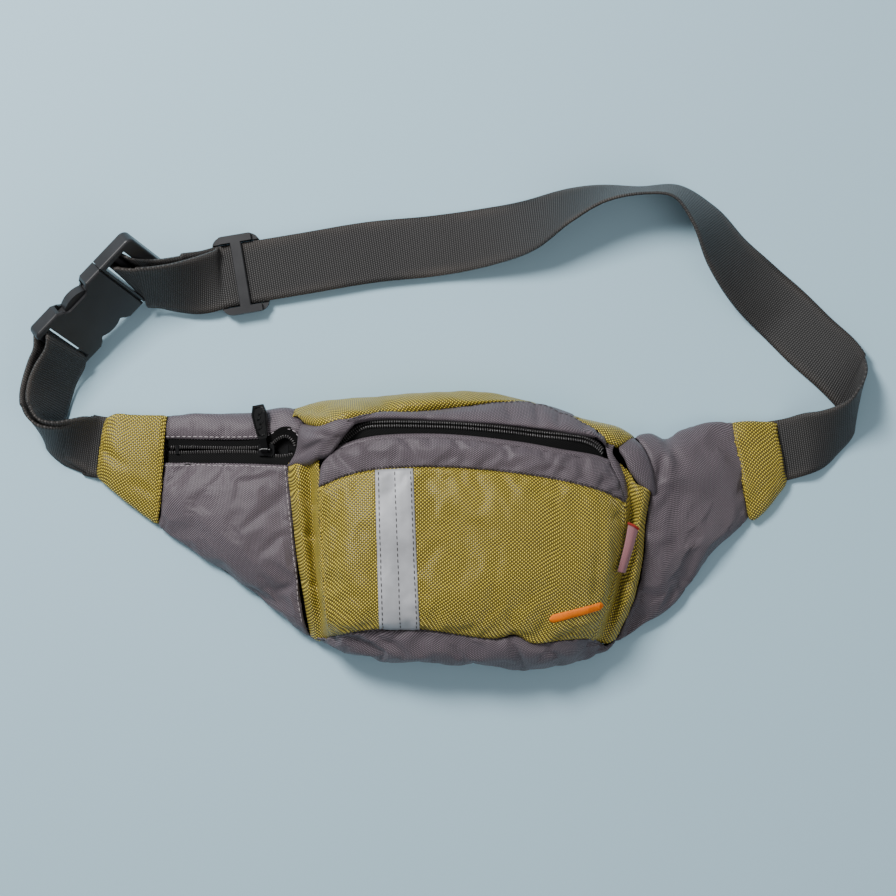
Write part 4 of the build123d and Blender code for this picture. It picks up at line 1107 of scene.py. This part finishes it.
# ---------------------------------------------------------------- trims on the front panel
def on_panel(cloth, x, y, lift):
    """The point of a panel over a place, a little above its cloth, and the cloth's normal there."""
    gap = (cloth.grid[..., 0] - x) ** 2 + (cloth.grid[..., 1] - y) ** 2
    i, j = np.unravel_index(np.argmin(gap), gap.shape)
    p, n = cloth.grid[i, j], cloth.normals[i, j]
    z = p[2] - (n[0] * (x - p[0]) + n[1] * (y - p[1])) / max(n[2], 0.2)
    return np.array([x, y, z]) + n * lift, n


STRIP_WIDTH = 23
STRIP_SEAMS = (0.085, 0.52, 0.93)      # where its three rows of stitches run, as shares of its width


def make_reflective_strip():
    """Silver tape laid on the front panel, held down along its stitches."""
    cloth = pocket["front"]
    top_left, top_right = np.array([-39.6, 37.6]), np.array([-16.7, 38.6])
    low_left, low_right = np.array([-37.0, -58.3]), np.array([-12.8, -58.8])

    def spot(u, v):
        """A place on the strip, u across it and v up it, each from 0 to 1."""
        low = (1 - u) * low_left + u * low_right
        high = (1 - u) * top_left + u * top_right
        return (1 - v) * low + v * high

    rows = []
    for v in np.linspace(0, 1, 60):
        row = []
        for u in np.linspace(0, 1, 16):
            # raised between its edges, and pressed in along the rows of stitches
            edge = min(u, 1 - u) * STRIP_WIDTH
            puffed = 0.45 + 0.35 * (1 - math.exp(-edge / 2.0)) - 0.3 * math.exp(-((edge - 1.6) / 0.7) ** 2)
            middle = abs(u - STRIP_SEAMS[1]) * STRIP_WIDTH
            puffed -= 0.3 * math.exp(-(middle / 0.7) ** 2)
            row.append(on_panel(cloth, *spot(u, v), puffed)[0])
        rows.append(row)
    grid = np.array(rows)
    n = normals_of(grid, (0, 0, 1))
    vertices, faces, uv = closed_shell(grid, n, 0.3, uv_of(grid))
    obj = add_object("reflective_strip_tape", vertices, faces, REFLECTIVE, uv=uv)
    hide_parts("reflective_strip")
    seams = [[on_panel(cloth, *spot(u, v), 0.72)[0] for v in np.linspace(0.01, 0.99, 50)]
             for u in STRIP_SEAMS]
    stitches("reflective_strip_stitches", seams, THREAD_DARK, length=2.4, gap=1.1, radius=0.26)


THREADS = 74             # side by side in the embroidered bar
THREAD_SLANT = 0.25


def make_embroidery():
    """A plain stadium-shaped bar of satin stitch."""
    cloth = pocket["front"]
    centre, turn, half, width = np.array([82.0, -48.5]), math.radians(14), 16.5, 2.6
    run = np.array([math.cos(turn), math.sin(turn)])
    across = np.array([-math.sin(turn), math.cos(turn)])
    centres, directions, ups, lengths = [], [], [], []
    for k in range(THREADS):
        along = -half + 2 * half * k / (THREADS - 1)
        over = max(0.0, abs(along) - (half - width))
        reach_across = math.sqrt(max(width**2 - over**2, 0.1))
        x, y = centre + run * along
        p, n = on_panel(cloth, x, y, 0.45)
        direction = np.array([*(across + run * THREAD_SLANT), 0.0])
        direction -= n * (direction @ n)
        centres.append(p)
        directions.append(direction)
        ups.append(n)
        lengths.append(2 * reach_across)
    obj = satin("embroidered_bar_threads", centres, directions, lengths, ups)
    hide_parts("embroidered_bar")


def satin(name, centres, directions, lengths, ups):
    """Threads of different lengths side by side, each arched over the cloth."""
    vertices, faces = [], []
    profile = [(-0.5, -0.5), (-0.3, 0.25), (0.0, 0.45), (0.3, 0.25), (0.5, -0.5)]   # place, height over cloth
    sides, radius = 6, 0.33
    for centre, direction, length, up in zip(centres, directions, lengths, ups):
        x = direction / np.linalg.norm(direction)
        y = np.cross(up, x)
        base = len(vertices)
        for share, rise in profile:
            for c, s in circle(sides):
                vertices.append(centre + x * share * length + up * rise + (y * c + up * s) * radius)
        faces += rod_faces(base, len(profile), sides)
    return add_object(name, vertices, faces, THREAD_ORANGE)


def make_label():
    """A blank woven label, folded and sewn into the gusset's seam by its left edge."""
    lines = [[(107.5, -24, 37.5), (111.3, -9, 38.2), (114, 5.3, 38.2)],
             [(110.5, -24.8, 36.5), (114.6, -9.5, 38), (117.5, 3.8, 38.2)],
             [(112.5, -25, 33.5), (117, -10.5, 35.5), (120.3, 1.6, 35.8)]]
    panel("side_label_woven", lines, LABEL, "label", replaces=["side_label"], thickness=0.5, puff=0, tuck=0,
          pucker=0.15, swell=0.35, seed=77, cell=0.9, outside=(0, 0, 1))
    edge = [(113.8, 5.5, 38.9), (117.5, 3.9, 38.9), (120.4, 1.7, 36.4)]
    centres = through(edge, 14)
    run = np.gradient(centres, axis=0)
    across = [np.cross([0, 0, 1.0], r) for r in run]
    beads("side_label_edge_threads", centres, across, 1.7, 0.3, THREAD_RED)


make_reflective_strip()
make_embroidery()
make_label()


# ---------------------------------------------------------------- topstitching
def make_stitching():
    """The rows of stitches that show along the seams."""
    above, below = wings["wing_top"], wings["wing_bottom"]
    front = pocket["front"]
    along_zip = [above.inset("b", 1.8), below.inset("t", 1.8), below.inset("r", 2.2, start=0.2)]
    stitches("wing_left_topstitch", along_zip, THREAD_GREY, length=2.6, gap=0.9, radius=0.34)
    stitches("pocket_band_topstitch", [pocket["band"].inset("b", 1.3)], THREAD_DARK,
             radius=0.24)
    stitches("pocket_strip_topstitch", [pocket["strip"].inset("t", 7.5, start=0.04, end=0.96)],
             THREAD_DARK, radius=0.22)
    stitches("front_panel_topstitch", [front.inset("l", 1.6, start=0.08), front.inset("r", 1.6, start=0.05)],
             THREAD_OLIVE, radius=0.24)
    on_tabs = [tab_left.inset("r", 1.6, start=0.12, end=0.9), tab_right.inset("l", 1.6, start=0.15, end=0.9),
               tab_left.inset("l", 2.0, start=0.25, end=0.8)]
    stitches("tab_stitches", on_tabs, THREAD_OLIVE, radius=0.28)
    stitches("bottom_gusset_stitches", [pocket["bottom"].inset("t", 1.6)], THREAD_DARK,
             radius=0.22)


make_stitching()


# ---------------------------------------------------------------- camera, lights and floor
def add_light(name, place, power, size, colour=(1, 1, 1)):
    data = bpy.data.lights.new(name, "AREA")
    data.energy, data.size, data.color = power, size, colour
    light = bpy.data.objects.new(name, data)
    light.location = place
    light.rotation_euler = (Vector((0, 0, 0)) - Vector(place)).to_track_quat("-Z", "Y").to_euler()
    bpy.context.collection.objects.link(light)


def make_studio():
    """The camera over the pack, two lamps, an even sky and a pale floor."""
    camera = bpy.data.objects.new("camera", bpy.data.cameras.new("camera"))
    camera.data.lens, camera.data.sensor_width = 100, 36
    camera.location = (0.0044, 0.0511, 1.55)
    bpy.context.collection.objects.link(camera)
    bpy.context.scene.camera = camera
    add_light("key", (-0.7, 0.9, 1.2), 36, 0.45)
    add_light("fill", (0.9, -0.6, 1.4), 6, 1.2)
    world = bpy.data.worlds.new("studio")
    world.use_nodes = True
    world.node_tree.nodes["Background"].inputs[0].default_value = (0.93, 0.96, 1.0, 1.0)
    world.node_tree.nodes["Background"].inputs[1].default_value = 0.27
    bpy.context.scene.world = world
    s = Shader("floor_paper")
    tone = s.noise(s.place(), 3.0, 2.0)
    floor_material = s.finish(Base_Color=s.mix(tone, rgb(172, 205, 220), rgb(178, 210, 225)), Roughness=0.9)
    mesh = bpy.data.meshes.new("floor")
    mesh.from_pydata([(-2, -2, 0), (2, -2, 0), (2, 2, 0), (-2, 2, 0)], [], [(0, 1, 2, 3)])
    mesh.materials.append(floor_material)
    floor = bpy.data.objects.new("floor", mesh)
    bpy.context.collection.objects.link(floor)


make_studio()


# ---------------------------------------------------------------- materials of the frame's own parts
FINISHES = {
    "buckle_socket": BUCKLE, "buckle_plug": BUCKLE, "prong_left": BUCKLE, "prong_right": BUCKLE,
    "strap_adjuster": BUCKLE,
}
for zip_name in ("wing_zip", "front_zip", "main_zip"):
    FINISHES[zip_name + "_tapes"] = TAPE
    FINISHES[zip_name + "_coil"] = COIL
    FINISHES[zip_name + "_stops"] = METAL
    FINISHES[zip_name + "_slider"] = METAL
    FINISHES[zip_name + "_puller"] = PULLER
for node, finish in FINISHES.items():
    for material_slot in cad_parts[node].material_slots:
        material_slot.material = finish
